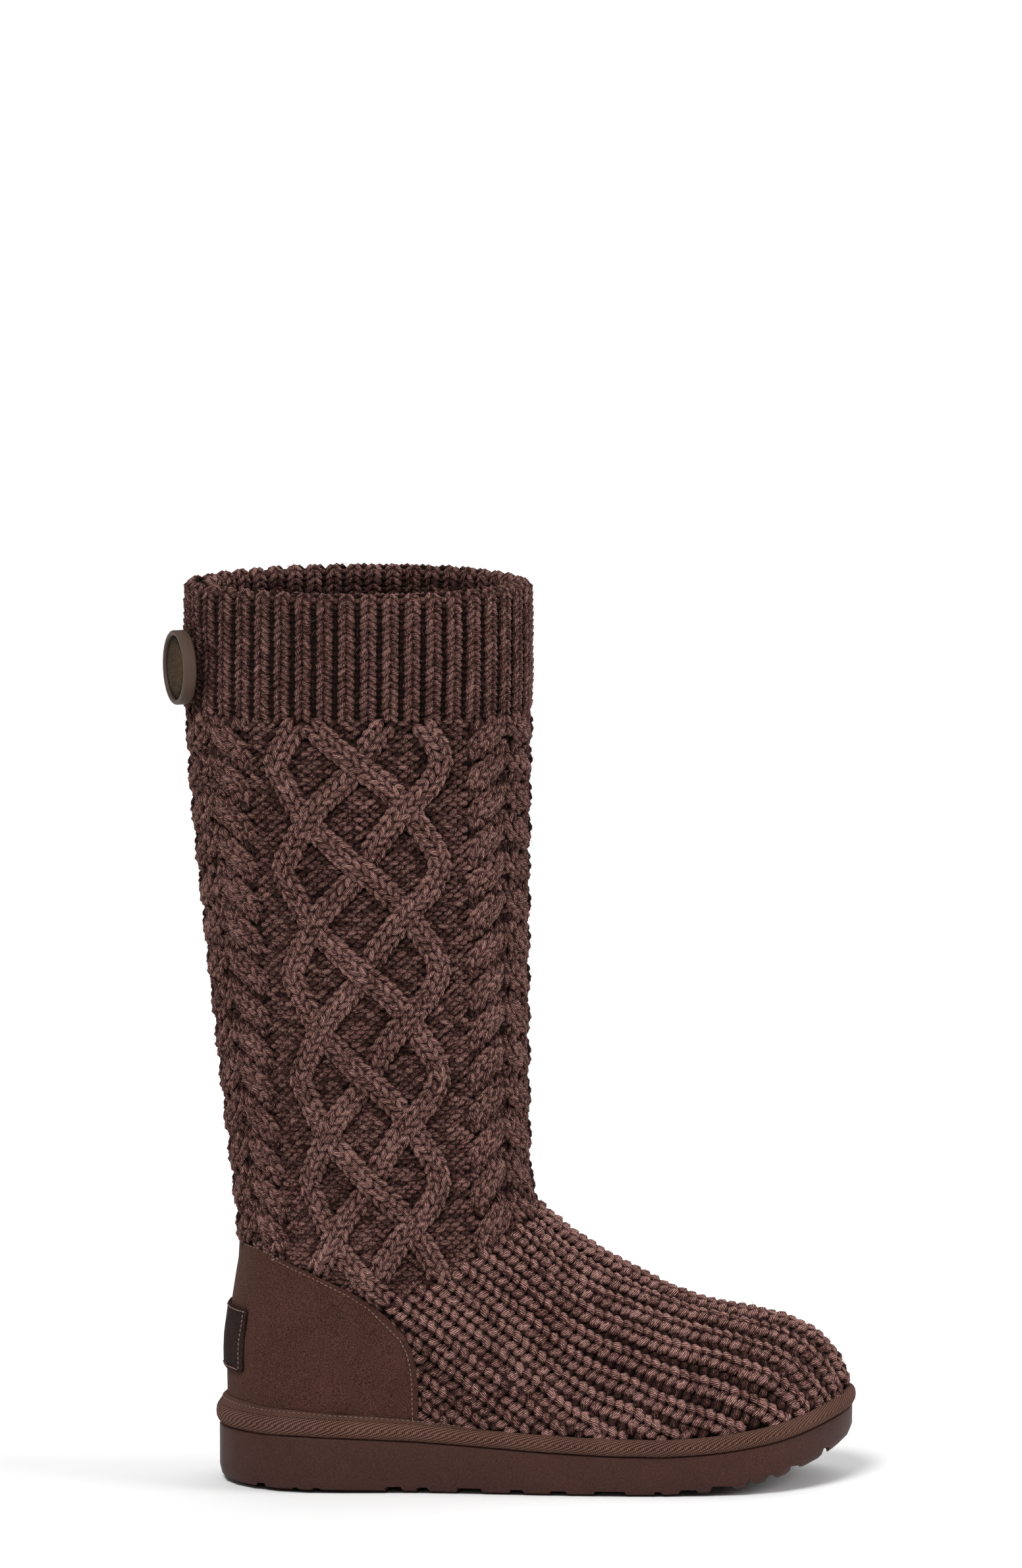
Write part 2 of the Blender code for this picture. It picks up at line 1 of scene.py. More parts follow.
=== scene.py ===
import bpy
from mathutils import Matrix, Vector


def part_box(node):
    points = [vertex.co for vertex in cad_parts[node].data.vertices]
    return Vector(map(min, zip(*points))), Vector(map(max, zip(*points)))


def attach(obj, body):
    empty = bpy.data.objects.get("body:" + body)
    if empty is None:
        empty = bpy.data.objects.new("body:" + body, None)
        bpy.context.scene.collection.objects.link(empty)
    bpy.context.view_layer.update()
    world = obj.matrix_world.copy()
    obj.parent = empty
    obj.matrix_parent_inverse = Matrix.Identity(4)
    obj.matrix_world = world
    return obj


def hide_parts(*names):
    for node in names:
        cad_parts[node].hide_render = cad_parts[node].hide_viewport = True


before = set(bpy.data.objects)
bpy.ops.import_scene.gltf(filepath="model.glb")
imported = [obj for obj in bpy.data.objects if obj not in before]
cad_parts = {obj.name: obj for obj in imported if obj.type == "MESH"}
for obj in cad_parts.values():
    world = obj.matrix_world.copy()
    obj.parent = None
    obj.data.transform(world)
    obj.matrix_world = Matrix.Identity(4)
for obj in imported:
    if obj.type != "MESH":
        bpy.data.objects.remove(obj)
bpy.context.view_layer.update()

import math

import bmesh
import bpy
import numpy as np
from mathutils import Vector
from mathutils.bvhtree import BVHTree
from mathutils.kdtree import KDTree

# Boot's wall
# The firm body that the knit is mounted on: a stiffened knit backing outside, brushed inside.
# It is one tube with the foot's shape, lapped at the back of the cuff. The knit, counter and
# sole are laid on it, so every later section takes its places from this wall.
MM = 0.001
# The backing's outside is near black: painted shade for the gaps between the stitches, where the
# backing shows through.
WALL_GAP_SHADE_COLORS = ((0.003, 0.0014, 0.0012), (0.010, 0.0052, 0.0045))
LINING_COLORS = ((0.03, 0.018, 0.015), (0.075, 0.045, 0.037))
WALL_LOOP, LINING_LOOP = 3.2 * MM, 2.4 * MM
BACKING_SHEEN = (0.8, 0.55, 0.48)
LEVEL_LOW, LEVEL_HIGH, LEVEL_STEP = 26 * MM, 380.4 * MM, 3 * MM
AROUND_REACH, AROUND_STEP = 236 * MM, 2 * MM
SHAFT_MIDDLE = -60 * MM
USUAL_RADIUS = 60 * MM  # taken where a ray from the shaft's middle meets nothing
FOOT_BELOW, FOOT_AXIS = 110 * MM, 40 * MM  # where the foot's tube begins, and its middle's height


def welded(node):
    """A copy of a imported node's mesh with its loose triangles joined."""
    mesh = bmesh.new()
    mesh.from_mesh(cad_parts[node].data)
    bmesh.ops.remove_doubles(mesh, verts=mesh.verts, dist=0.01 * MM)
    return mesh


def object_of(mesh, name, finishes=(), smooth_angle=None):
    """An object of a bmesh or a mesh, at the origin, shaded smooth up to an angle in degrees."""
    data = mesh
    if isinstance(mesh, bmesh.types.BMesh):
        data = bpy.data.meshes.new(name)
        mesh.to_mesh(data)
        mesh.free()
    for finish in finishes:
        data.materials.append(finish)
    if smooth_angle is not None:
        data.shade_smooth()
        if smooth_angle < 180:
            data.set_sharp_from_angle(angle=math.radians(smooth_angle))
    made = bpy.data.objects.new(name, data)
    bpy.context.scene.collection.objects.link(made)
    return made


def put(tree, kind, inputs=(), **settings):
    """Adds a node, links the inputs given as sockets and sets the others. Returns its outputs."""
    made = tree.nodes.new(kind if "Node" in kind else "ShaderNode" + kind)
    for key, value in settings.items():
        setattr(made, key, value)
    for key, value in dict(inputs).items():
        if isinstance(value, bpy.types.NodeSocket):
            tree.links.new(value, made.inputs[key])
        else:
            made.inputs[key].default_value = value
    return made.outputs


def calc(operation, *values):
    """A Math node's result for sockets and numbers."""
    tree = next(value.id_data for value in values if isinstance(value, bpy.types.NodeSocket))
    return put(tree, "Math", dict(enumerate(values)), operation=operation)[0]


def total(base, *parts):
    """A base with the products of (value, factor) parts added."""
    for value, factor in parts:
        base = calc("MULTIPLY_ADD", value, factor, base)
    return base


def effect(name, inputs, kind="ShaderNodeTree"):
    """A new node group, for inputs' socket types or starting numbers, and the inputs' sockets."""
    group = bpy.data.node_groups.new(name, kind)
    for label, value in inputs.items():
        socket = "NodeSocket" + (value if isinstance(value, str) else "Float")
        made = group.interface.new_socket(label, in_out="INPUT", socket_type=socket)
        if socket == "NodeSocketFloat":
            made.default_value = value
    return group, group.nodes.new("NodeGroupInput").outputs


def give(group, results, kind="Float"):
    """Gives a node group its results as named outputs."""
    result = group.nodes.new("NodeGroupOutput")
    for label, socket in results.items():
        group.interface.new_socket(label, in_out="OUTPUT", socket_type="NodeSocket" + kind)
        group.links.new(socket, result.inputs[label])
    return group


def finish_of(name, roughness, sheen=0.0, tint=(1, 1, 1), specular=0.5):
    """A material with its shader's constant values set. Returns it with its tree and shader."""
    material = bpy.data.materials.new(name)
    material.use_nodes = True
    shader = material.node_tree.nodes["Principled BSDF"]
    values = {"Roughness": roughness, "Sheen Weight": sheen, "Sheen Roughness": 0.45}
    values |= {"Sheen Tint": (*tint, 1), "Specular IOR Level": specular}
    for label, value in values.items():
        shader.inputs[label].default_value = value
    return material, material.node_tree, shader


def dress(shader, shade, stops, height=None, distance=0.0):
    """Colours a shader by stops of (shade, colour), and raises its surface by a height."""
    tree = shader.id_data
    made = tree.nodes.new("ShaderNodeValToRGB")
    keys = made.color_ramp.elements
    while len(keys) < len(stops):
        keys.new(0.5)
    for key, (position, color) in zip(keys, stops):
        key.position = position
        key.color = (*color, 1)
    tree.links.new(shade, made.inputs["Fac"])
    tree.links.new(made.outputs["Color"], shader.inputs["Base Color"])
    if height:
        bump = put(tree, "Bump", {"Height": height, "Distance": distance})
        tree.links.new(bump["Normal"], shader.inputs["Normal"])


def fine_nap():
    """Effect: short fibres or grain, as a fine speckle and a broad cloud, both about 0.5."""
    group, given = effect("Fine nap", {"Vector": "Vector", "Grain": 2000.0, "Cloud Size": 60.0})
    sizes = ((given["Grain"], 3.0), (given["Cloud Size"], 4.0))
    grains = [{"Vector": given["Vector"], "Scale": size, "Detail": detail} for size, detail in sizes]
    fine, wide = [put(group, "TexNoise", values)["Fac"] for values in grains]
    return give(group, {"Speckle": fine, "Cloud": wide, "Height": total(fine, (wide, 0.6))})


nap = fine_nap()


def nap_over(tree, grain, cloud_size):
    """The nap's values on the object's own coordinates."""
    values = {"Vector": put(tree, "TexCoord")["Object"], "Grain": grain, "Cloud Size": cloud_size}
    return put(tree, "Group", values, node_tree=nap)


def backing_material(name, low, high, loop_size):
    """Knit backing: rows of small purl loops on the object's own coordinates."""
    material, tree, shader = finish_of(name, 0.95, sheen=0.05, tint=BACKING_SHEEN, specular=0.1)
    place = put(tree, "TexCoord")["Object"]
    cells = {"Vector": place, "Scale": 1 / loop_size, "Randomness": 0.55}
    loops = put(tree, "TexVoronoi", cells, feature="SMOOTH_F1")["Distance"]
    tone = total(nap_over(tree, 900.0, 45.0)["Height"], (loops, -0.7))
    dress(shader, tone, ((0.15, low), (0.85, high)), tone, 0.8 * MM)
    return material


wall_finishes = [
    backing_material("Knit backing", *WALL_GAP_SHADE_COLORS, WALL_LOOP),
    backing_material("Brushed lining", *LINING_COLORS, LINING_LOOP),
]
wall_mesh = welded("upper")
wall_tree = BVHTree.FromBMesh(wall_mesh)
for face in wall_mesh.faces:
    middle = face.calc_center_median()
    inward = Vector((SHAFT_MIDDLE - middle.x, -middle.y, 0))
    if middle.z < FOOT_BELOW:
        inward = Vector((0, -middle.y, FOOT_AXIS - middle.z))
    face.material_index = 1 if face.normal.dot(inward) > 0 else 0
wall = object_of(wall_mesh, "boot_wall", wall_finishes, 60)
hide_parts("upper")
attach(wall, "root")


def outer_hit(tree, centre, direction, reach=0.34):
    """Where a ray from outside, aimed at a centre, first meets a surface."""
    return tree.ray_cast(centre + direction * reach, -direction, reach)[0]


def hits_of(tree, rays):
    """Where rays of (start, direction) first meet a surface: pairs of a place and a normal."""
    found = [tree.ray_cast(Vector(start), Vector(direction))[:2] for start, direction in rays]
    return [pair for pair in found if pair[0]]


def way_along(points):
    """The way along a path to each of its points."""
    return np.concatenate([[0], np.cumsum(np.linalg.norm(np.diff(points, axis=0), axis=1))])


def read_at(wanted, ways, values):
    """The values along a path, numbers or vectors, at the wanted ways."""
    return np.apply_along_axis(lambda row: np.interp(wanted, ways, row), 0, values)


def smoothed(rows, passes):
    """Each row's values blended a little with their neighbours'."""
    for _ in range(passes):
        rows[:, 1:-1] = (rows[:, :-2] + 2 * rows[:, 1:-1] + rows[:, 2:]) / 4
    return rows


def gridded(points):
    """Grids of places and of outward normals, for rows of places that run to the right."""
    normals = np.cross(np.gradient(points, axis=1), np.gradient(points, axis=0))
    normals /= np.maximum(np.linalg.norm(normals, axis=2, keepdims=True), 1e-12)
    return np.concatenate([points, normals], axis=2)


def read_grid(grid, row, column):
    """Places and normals between the entries of a grid, each as an array of vectors."""
    row = np.clip(row, 0, grid.shape[0] - 1.001)
    column = np.clip(column, 0, grid.shape[1] - 1.001)
    i, j = row.astype(int), column.astype(int)
    s, t = (row - i)[:, None], (column - j)[:, None]
    upper = grid[i, j] * (1 - t) + grid[i, j + 1] * t
    lower = grid[i + 1, j] * (1 - t) + grid[i + 1, j + 1] * t
    both = upper * (1 - s) + lower * s
    normal = both[:, 3:]
    return both[:, :3], normal / np.maximum(np.linalg.norm(normal, axis=1, keepdims=True), 1e-9)


def level_grid(inside=False):
    """The wall's surface by height, and by the way round from the middle of the back, which is
    positive over the lateral side. Also each level's way to the middle of the front."""
    angles = np.radians(np.arange(-180, 181, 2.0))
    reach = np.arange(-AROUND_REACH, AROUND_REACH + AROUND_STEP, AROUND_STEP)
    rows, halves = [], []
    last = np.full(len(angles), USUAL_RADIUS)
    for z in levels[::-1]:
        centre = Vector((SHAFT_MIDDLE, 0, z))
        far = []
        for k, angle in enumerate(angles):
            ray = Vector((-math.cos(angle), -math.sin(angle), 0))
            hit = wall_tree.ray_cast(centre, ray)[0] if inside else outer_hit(wall_tree, centre, ray)
            far.append((hit - centre).length if hit else last[k])
        last = np.array(far)
        radius = np.concatenate([last[-4:-1], last, last[1:4]])
        radius = smoothed(radius[None], 2)[0, 3:-3]
        spots = (SHAFT_MIDDLE - radius * np.cos(angles), -radius * np.sin(angles), z + 0 * radius)
        ring = np.stack(spots, axis=1)
        arc = way_along(ring)
        whole = arc[-1]
        arc -= np.interp(0, angles, arc)
        halves.append((-arc[0], arc[-1]))
        rows.append(read_at((reach - arc[0]) % whole + arc[0], arc, ring))
    return smoothed(gridded(np.array(rows[::-1])), 1), np.array(halves[::-1])


levels = np.arange(LEVEL_LOW, LEVEL_HIGH, LEVEL_STEP)
shaft_grid, half_ways = level_grid()


def on_shaft(heights, around, grid=shaft_grid):
    """Places and outward normals on the wall, for heights and ways round in metres."""
    row = (np.asarray(heights) - LEVEL_LOW) / LEVEL_STEP
    column = (np.asarray(around) + AROUND_REACH) / AROUND_STEP
    return read_grid(grid, row, column)


def half_way(heights, side, halves=half_ways):
    """The way from the middle of the back to that of the front. Side is 1 for lateral."""
    return np.interp(heights, levels, halves[:, 1 if side > 0 else 0])


# Shaft's cable knit
# Two panels of chunky wool knit, one over each side of the leg, knitted from the cuff down. Each
# has a horseshoe cable at its front and back edges and a lattice of four crossing strands
# between them, on a ground of purl stitches, and is sewn to the foot's knit and the counter.
KNIT_SEED = 11
CUFF_BOTTOM = 328.5
CHART_STEP = -0.9
CHART_ENDS = (74.0, 76.0)  # of the strands and of the ground, under the counter
NOMINAL_HALF = 95.0  # a panel's chart runs this many millimetres to each side of its middle
CHART_MIDDLE_X = ((118 * MM, -58.2 * MM), (323 * MM, -64.3 * MM))
CHART_STRAIGHT_BELOW = 121 * MM
# A column of stitches: its pitch and width, and a leg's width, length, thickness and angle
CABLE_STITCH = (4.4, 3.6, (3.2, 8.4, 3.0), math.radians(17))
LATTICE_STITCH = (4.4, 5.2, (3.3, 8.4, 3.0), math.radians(23))
CABLE_MIDDLE = 69.0
# Height of the first crossing's peak, its pitch and how much each pitch grows, front and back
CABLE_CROSSINGS = {1: (321.4, 14.2, 0.14), -1: (318.7, 16.1, 0.001)}
STRAND_SWING, STRAND_MIDDLE, STRAND_SHARPNESS = 5.3, 10.4, 1.2
STRAND_COVERS = 5.7
STRAND_OVER, STRAND_SHOWN = 0.12, 0.1  # rises from which a strand covers the other, and shows
CABLE_LIFT = (0.4, 2.3)
CABLE_CROWN = 1.6  # how far the middle column of a strand stands over its sides
CABLE_LEAN, LATTICE_LEAN = 0.7, 0.8
# Painted shade on a cable's strands, darkest where a strand passes under the other one.
CABLE_SHADE = (0.35, 0.35, -0.22)  # share of the rise, the most rise that counts, and the rest
LATTICE_SWING = (36.4, 33.0)  # at the top and the bottom of its heights
LATTICE_HEIGHTS = (118, 322)
LATTICE_PERIOD = 179.0
LATTICE_CROSSING = 310.6
LATTICE_LIFT = (2.4, 1.4)
LATTICE_FADE = (1.25, 0.85)  # how the over and under of the weave dies out toward the turns
# A strand's way through a middle crossing, from one turn to the next: shares of a quarter period
# down the leg and of the swing toward the front. One list runs forward and the other back.
LATTICE_FORWARD = [
    (-1.0, -1.0), (-0.5, -0.69), (-0.27, -0.40), (-0.1, -0.14), (0.13, 0.24),
    (0.30, 0.46), (0.43, 0.59), (0.63, 0.77), (0.82, 0.94), (1.0, 1.0),
]
LATTICE_BACK = [
    (-1.0, 1.0), (-0.8, 0.85), (-0.53, 0.47), (-0.4, 0.34), (-0.27, 0.21), (0.0, 0.0),
    (0.17, -0.19), (0.33, -0.43), (0.43, -0.54), (0.73, -0.80), (1.0, -1.0),
]
PURL_SPACING = (4.9, 3.7)
PURL = (2.9, 6.4, 2.8)  # width, length and thickness of a bump
PURL_SLANT = math.radians(5)
PURL_SHARED = 1.0  # how far past the boot's middle lines the lateral side's ground goes
PURL_LIFT = 0.3
PURL_CLEARANCE = 1.9 * MM
HOLLOW_REACH = 6.0 * MM
HOLLOW_SHADE = 1.15  # of tone, for each millimetre that a stitch lies lower than its neighbours
HOLLOW_RANGE = (-0.3, 1.4)
HOLLOW_FACING = 0.3  # how alike the normals of two stitches are, if one shades the other
# The heel counter's edge in the side view, which the knit goes under
COUNTER_LINE = [
    (-129.7, 104.5), (-113.7, 102.8), (-96.7, 98.2), (-81.7, 92.3), (-67.7, 86.0), (-58.0, 80.3),
    (-50.7, 73.8), (-44.5, 67.1), (-41.3, 61.0), (-39.7, 54.5), (-38.8, 46.0), (-38.5, 30.0),
]
TUCK = 3.2  # how far the knit runs on under the counter
TUCK_SINKS = (3.6, 1.0, 1.6)  # how deep the strands, the purl ground and the foot's knit go there
# The lower edge of the shaft's knit in the side view: under the counter, then along the foot
SHAFT_EDGE = [
    (-130.0, 97.0), (-96.7, 91.0), (-67.7, 79.0), (-58.5, 73.5), (-56.5, 78.5), (-54.5, 79.0),
    (-49.7, 80.4), (-37.3, 87.0), (-15.7, 99.0), (0.3, 107.5), (10.3, 116.0), (30.0, 124.0),
]
YARN_COLORS = ((0.006, 0.0020, 0.0018), (0.066, 0.0270, 0.0230), (0.46, 0.250, 0.215))
YARN_SHEEN = (0.8, 0.5, 0.42)
UP = np.array((0, 0, 1.0))


def unit(vectors):
    """Vectors, one to a row, at a length of one."""
    return vectors / np.linalg.norm(vectors, axis=1, keepdims=True)


def swung(one, other, angle):
    """Directions turned from one toward the other, by an angle for each row."""
    return one * np.cos(angle)[:, None] + other * np.sin(angle)[:, None]


def chart_way(side, across, heights):
    """The way round the shaft of a place on a panel's chart, where across is in millimetres
    from the panel's middle toward the front."""
    middle_x = np.interp(heights, *zip(*CHART_MIDDLE_X))
    half = half_way(np.maximum(heights, CHART_STRAIGHT_BELOW), side)
    ways = np.linspace(0, 1, 61)
    middle = np.empty(len(heights))
    for k, z in enumerate(heights):
        found, _ = on_shaft(np.full(len(ways), z), side * ways * half[k])
        middle[k] = np.interp(middle_x[k], found[:, 0], ways * half[k])
    return side * (middle + across * np.where(across > 0, half - middle, middle) / NOMINAL_HALF)


class Stitches:
    """The stitch legs of one piece of knit, kept as arrays until they are laid."""

    def __init__(self, seed):
        self.rows = []
        self.random = np.random.default_rng(seed)

    def add(self, place, along, out, size, tone):
        """Legs at places, with their directions, normals, sizes in millimetres and tones."""
        count = len(place)
        size = np.broadcast_to(size, (count, 3)) * MM
        tone = np.broadcast_to(tone, count)
        self.rows.append(np.column_stack([place, unit(along), unit(out), size, tone]))

    def column(self, points, outs, stitch, tilt=0.25, keep=True, lean=0.0, gauge=1.0, shade=0.0):
        """Lays a column of V stitches down a path. Each V's apex points back up the path. Tilt
        turns the two legs apart, and lean the whole column to one side. Keep, gauge and shade are
        where stitches lie, how much larger they are, and what is added to their tone."""
        pitch, width, leg, angle = stitch
        ways = way_along(points)
        steps = np.arange(len(points))
        keep, gauge, shade = [np.broadcast_to(values, len(points)) for values in (keep, gauge, shade)]
        index = np.interp(np.arange(pitch * MM / 2, ways[-1], pitch * MM), ways, steps)
        index = index[keep[np.rint(index).astype(int)]]
        rows = (points, outs, np.gradient(points, axis=0), gauge, shade)
        place, out, along, grown, shade = [read_at(index, steps, values) for values in rows]
        out, along = unit(out), unit(along)
        out = unit(out + unit(np.cross(out, along)) * lean)
        across = unit(np.cross(out, along))
        count = len(index)
        for hand in (-1, 1):
            direction = swung(along, across * hand, angle + self.random.normal(0, 0.06, count))
            spot = place + across * grown[:, None] * (hand * width / 4 * MM)
            spot = spot + self.random.normal(0, 0.09 * MM, (count, 3))
            size = np.array(leg) * grown[:, None] * self.random.normal(1, 0.05, (count, 3))
            tone = 0.5 + self.random.normal(0, 0.16, count) + shade
            self.add(spot, direction, out + across * (hand * tilt), size, tone)

    def table(self):
        """All the legs as one array."""
        return np.concatenate(self.rows)


def tube(rings, ways, round_step, joined=False):
    """A tube over rings of places, joined end to end or closed at its ends, with a UV map of the
    way along it and round it."""
    mesh = bmesh.new()
    layer = mesh.loops.layers.uv.new("UVMap")
    rings = [[mesh.verts.new(place) for place in ring] for ring in rings]
    for i, (near, far) in enumerate(zip(rings, rings[1:] + rings[:1] if joined else rings[1:])):
        for k in range(len(near)):
            nxt = (k + 1) % len(near)
            face = mesh.faces.new((near[k], far[k], far[nxt], near[nxt]))
            corners = ((i, k), (i + 1, k), (i + 1, k + 1), (i, k + 1))
            for loop, (row, column) in zip(face.loops, corners):
                loop[layer].uv = (ways[row], column * round_step)
    if not joined:
        for ring, way in ((rings[0][::-1], ways[0]), (rings[-1], ways[-1])):
            for loop in mesh.faces.new(ring).loops:
                loop[layer].uv = (way, 0.5)
    bmesh.ops.recalc_face_normals(mesh, faces=mesh.faces)
    return mesh


# One leg of a knit stitch: a plump spindle with its ends turned down. Along, girth and dip of
# each section
LEG_SECTIONS = [(-0.5, 0.42, -0.46), (-0.21, 1.0, 0.03), (0.21, 1.0, 0.03), (0.5, 0.42, -0.46)]
LEG_SIDES = 5
leg_rings = []
for along, girth, dip in LEG_SECTIONS:
    turns = [2 * math.pi * k / LEG_SIDES for k in range(LEG_SIDES)]
    leg_rings.append([(girth / 2 * math.sin(t), along, dip + girth / 2 * math.cos(t)) for t in turns])
leg_mesh = tube(leg_rings, [row[0] + 0.5 for row in LEG_SECTIONS], 1 / LEG_SIDES)
stitch_leg = object_of(leg_mesh, "stitch_leg", smooth_angle=180)


def laying_tree():
    """Geometry Nodes: sets a stitch on every point, turned to its own direction and normal."""
    inputs = {"Geometry": "Geometry", "Stitch": "Object", "Yarn": "Material"}
    inputs |= {"Unevenness": 0.05, "Seed": "Int"}
    tree, given = effect("Lay stitches", inputs, "GeometryNodeTree")
    sockets = {row.name: row.identifier for row in tree.interface.items_tree}
    along, out, size = [
        put(tree, "GeometryNodeInputNamedAttribute", {"Name": name}, data_type="FLOAT_VECTOR")[0]
        for name in ("along", "out", "size")
    ]
    axes = {"primary_axis": "Z", "secondary_axis": "Y"}
    aim = put(tree, "FunctionNodeAxesToRotation", {0: out, 1: along}, **axes)[0]
    spread = put(tree, "VectorMath", {0: (1, 1, 1), "Scale": given["Unevenness"]}, operation="SCALE")[0]
    back = put(tree, "VectorMath", {0: spread, "Scale": -1}, operation="SCALE")[0]
    limits = {0: back, 1: spread, "Seed": given["Seed"]}
    wobble = put(tree, "FunctionNodeRandomValue", limits, data_type="FLOAT_VECTOR")[0]
    turn = put(tree, "FunctionNodeEulerToRotation", {0: wobble})[0]
    aimed = put(tree, "FunctionNodeRotateRotation", {0: aim, 1: turn}, rotation_space="LOCAL")[0]
    stitch = put(tree, "GeometryNodeObjectInfo", {"Object": given["Stitch"]})["Geometry"]
    points = {"Points": given["Geometry"], "Instance": stitch, "Rotation": aimed, "Scale": size}
    laid = put(tree, "GeometryNodeInstanceOnPoints", points)[0]
    real = put(tree, "GeometryNodeRealizeInstances", {0: laid})[0]
    dyed = put(tree, "GeometryNodeSetMaterial", {"Geometry": real, "Material": given["Yarn"]})[0]
    return give(tree, {"Geometry": dyed}, "Geometry"), sockets


stitch_tree, stitch_sockets = laying_tree()
knit_tables = {}


def lay(stitches, name, shape, yarn, unevenness=0.05):
    """Makes a plain mesh object of a piece's stitches, through the laying tree."""
    table = stitches.table()
    knit_tables[name] = table
    points = bpy.data.meshes.new(name)
    points.from_pydata(table[:, :3].tolist(), [], [])
    for label, first in (("along", 3), ("out", 6), ("size", 9)):
        layer = points.attributes.new(label, "FLOAT_VECTOR", "POINT")
        layer.data.foreach_set("vector", table[:, first : first + 3].ravel().astype(np.float32))
    layer = points.attributes.new("tone", "FLOAT", "POINT")
    layer.data.foreach_set("value", table[:, 12].astype(np.float32))
    made = object_of(points, name)
    laying = made.modifiers.new("Lay stitches", "NODES")
    laying.node_group = stitch_tree
    values = {"Stitch": shape, "Yarn": yarn, "Unevenness": unevenness, "Seed": KNIT_SEED}
    for label, value in values.items():
        laying[stitch_sockets[label]] = value
    graph = bpy.context.evaluated_depsgraph_get()
    made.data = bpy.data.meshes.new_from_object(made.evaluated_get(graph))
    made.modifiers.clear()
    bpy.data.meshes.remove(points)
    made.data.name = name
    for label in ("along", "out", "size"):
        made.data.attributes.remove(made.data.attributes[label])
    return made


def twisted_plies():
    """Effect: the plies of a yarn, as ridges along it that turn slowly round it, and masks for painted
    shade: at the ends of each stitch, where it dives under the next, and on its sides and back."""
    inputs = {"UV": "Vector", "Plies": 9.0, "Twist": 0.7, "Shift": 0.0}
    group, given = effect("Twisted plies", inputs)
    along, across, _ = put(group, "SeparateXYZ", {0: given["UV"]})
    turned = calc("MULTIPLY", along, given["Twist"])
    around = calc("ADD", total(turned, (across, given["Plies"])), given["Shift"])
    wave = calc("SINE", calc("MULTIPLY", around, math.pi))
    stretches = enumerate(((along, 7.0), (around, 2.1), (given["Shift"], 9.0)))
    stretched = {k: calc("MULTIPLY", value, factor) for k, (value, factor) in stretches}
    fibres = put(group, "CombineXYZ", stretched)[0]
    facing = calc("COSINE", calc("MULTIPLY", across, 2 * math.pi))
    results = {
        "Ridge": calc("POWER", calc("ABSOLUTE", wave), 0.6),
        "Fibre": put(group, "TexNoise", {"Vector": fibres, "Scale": 1.0, "Detail": 2.0})["Fac"],
        "Ends": calc("POWER", calc("ABSOLUTE", total(-1.0, (along, 2.0))), 2.5),
        "Sides": calc("MINIMUM", total(0.5, (facing, -0.5)), 0.4),
    }
    return give(group, results)


plies = twisted_plies()


def yarn_material(name, colors, ply_count, depth):
    """Yarn or thread on the stitches' own UV map, with a tone for each stitch. Its colour holds painted
    shade: darker in the grooves between plies, at the ends and on the sides of each leg, and where a
    stitch's tone was darkened for shade.
    """
    material, tree, shader = finish_of(name, 0.9, sheen=0.04, tint=YARN_SHEEN, specular=0.06)
    tone = put(tree, "Attribute", attribute_name="tone")["Fac"]
    uv = put(tree, "UVMap", uv_map="UVMap")[0]
    twist = {"UV": uv, "Plies": ply_count, "Twist": 5.4, "Shift": calc("MULTIPLY", tone, 6.0)}
    yarn = put(tree, "Group", twist, node_tree=plies)
    cloud = nap_over(tree, 1500.0, 25.0)["Cloud"]
    # Painted shade: the ply grooves, the legs' ends and their sides are darkened, and the darkest
    # colour stands for the deepest shade.
    shares = {"Fibre": 1.8, "Ridge": 0.62, "Ends": -0.5, "Sides": -1.1}
    parts = [(yarn[label], share) for label, share in shares.items()]
    shade = total(-1.11, *parts, (tone, 0.3), (cloud, 0.25))
    height = total(yarn["Ridge"], (yarn["Fibre"], 0.35))
    dress(shader, shade, list(zip((0.05, 0.5, 1.0), colors)), height, depth)
    return material


yarn_finish = yarn_material("Brown wool yarn", YARN_COLORS, 13.0, 0.4 * MM)


def over_edge(points):
    """How high places lie over the lower edge of the shaft's knit, in millimetres."""
    return points[:, 2] / MM - np.interp(points[:, 0] / MM, *zip(*SHAFT_EDGE))


def past_counter(points):
    """How far each place lies outside the heel counter's edge, in millimetres."""
    spots = points[:, [0, 2]] / MM
    away = np.full(len(points), np.inf)
    line = np.array(COUNTER_LINE)
    for start, end in zip(line, line[1:]):
        run = end - start
        share = np.clip((spots - start) @ run / (run @ run), 0, 1)
        away = np.minimum(away, np.linalg.norm(spots - start - share[:, None] * run, axis=1))
    inside = (spots[:, 0] < line[-1, 0]) & (spots[:, 1] < np.interp(spots[:, 0], *line.T))
    return np.where(inside, -away, away)


def tuck_under(stitches, depth, first=0):
    """Sinks the stitches that come to the counter's edge under it, and drops those behind it."""
    for k, row in enumerate(stitches.rows[first:], first):
        outside = past_counter(row[:, :3])
        row[:, :3] -= row[:, 6:9] * (depth * np.clip(0.75 - outside / TUCK, 0, 1))[:, None] * MM
        stitches.rows[k] = row[outside > -TUCK]


def tree_of(places):
    """A tree that finds the places near to a place."""
    near = KDTree(len(places))
    for k, place in enumerate(places):
        near.insert(place, k)
    near.balance()
    return near


def shade_hollows(pieces):
    """Darkens the stitches that lie lower than the ones round them, where yarn shades yarn."""
    table = np.concatenate([piece.table() for piece in pieces])
    near = tree_of(table[:, :3])
    for row in [row for piece in pieces for row in piece.rows]:
        for stitch in row:
            around = [found[1] for found in near.find_range(stitch[:3], HOLLOW_REACH)]
            around = [k for k in around if table[k, 6:9] @ stitch[6:9] > HOLLOW_FACING]
            rise = (table[around, :3] - stitch[:3]) @ stitch[6:9] / MM
            stitch[12] -= HOLLOW_SHADE * np.clip(rise.mean(), *HOLLOW_RANGE)


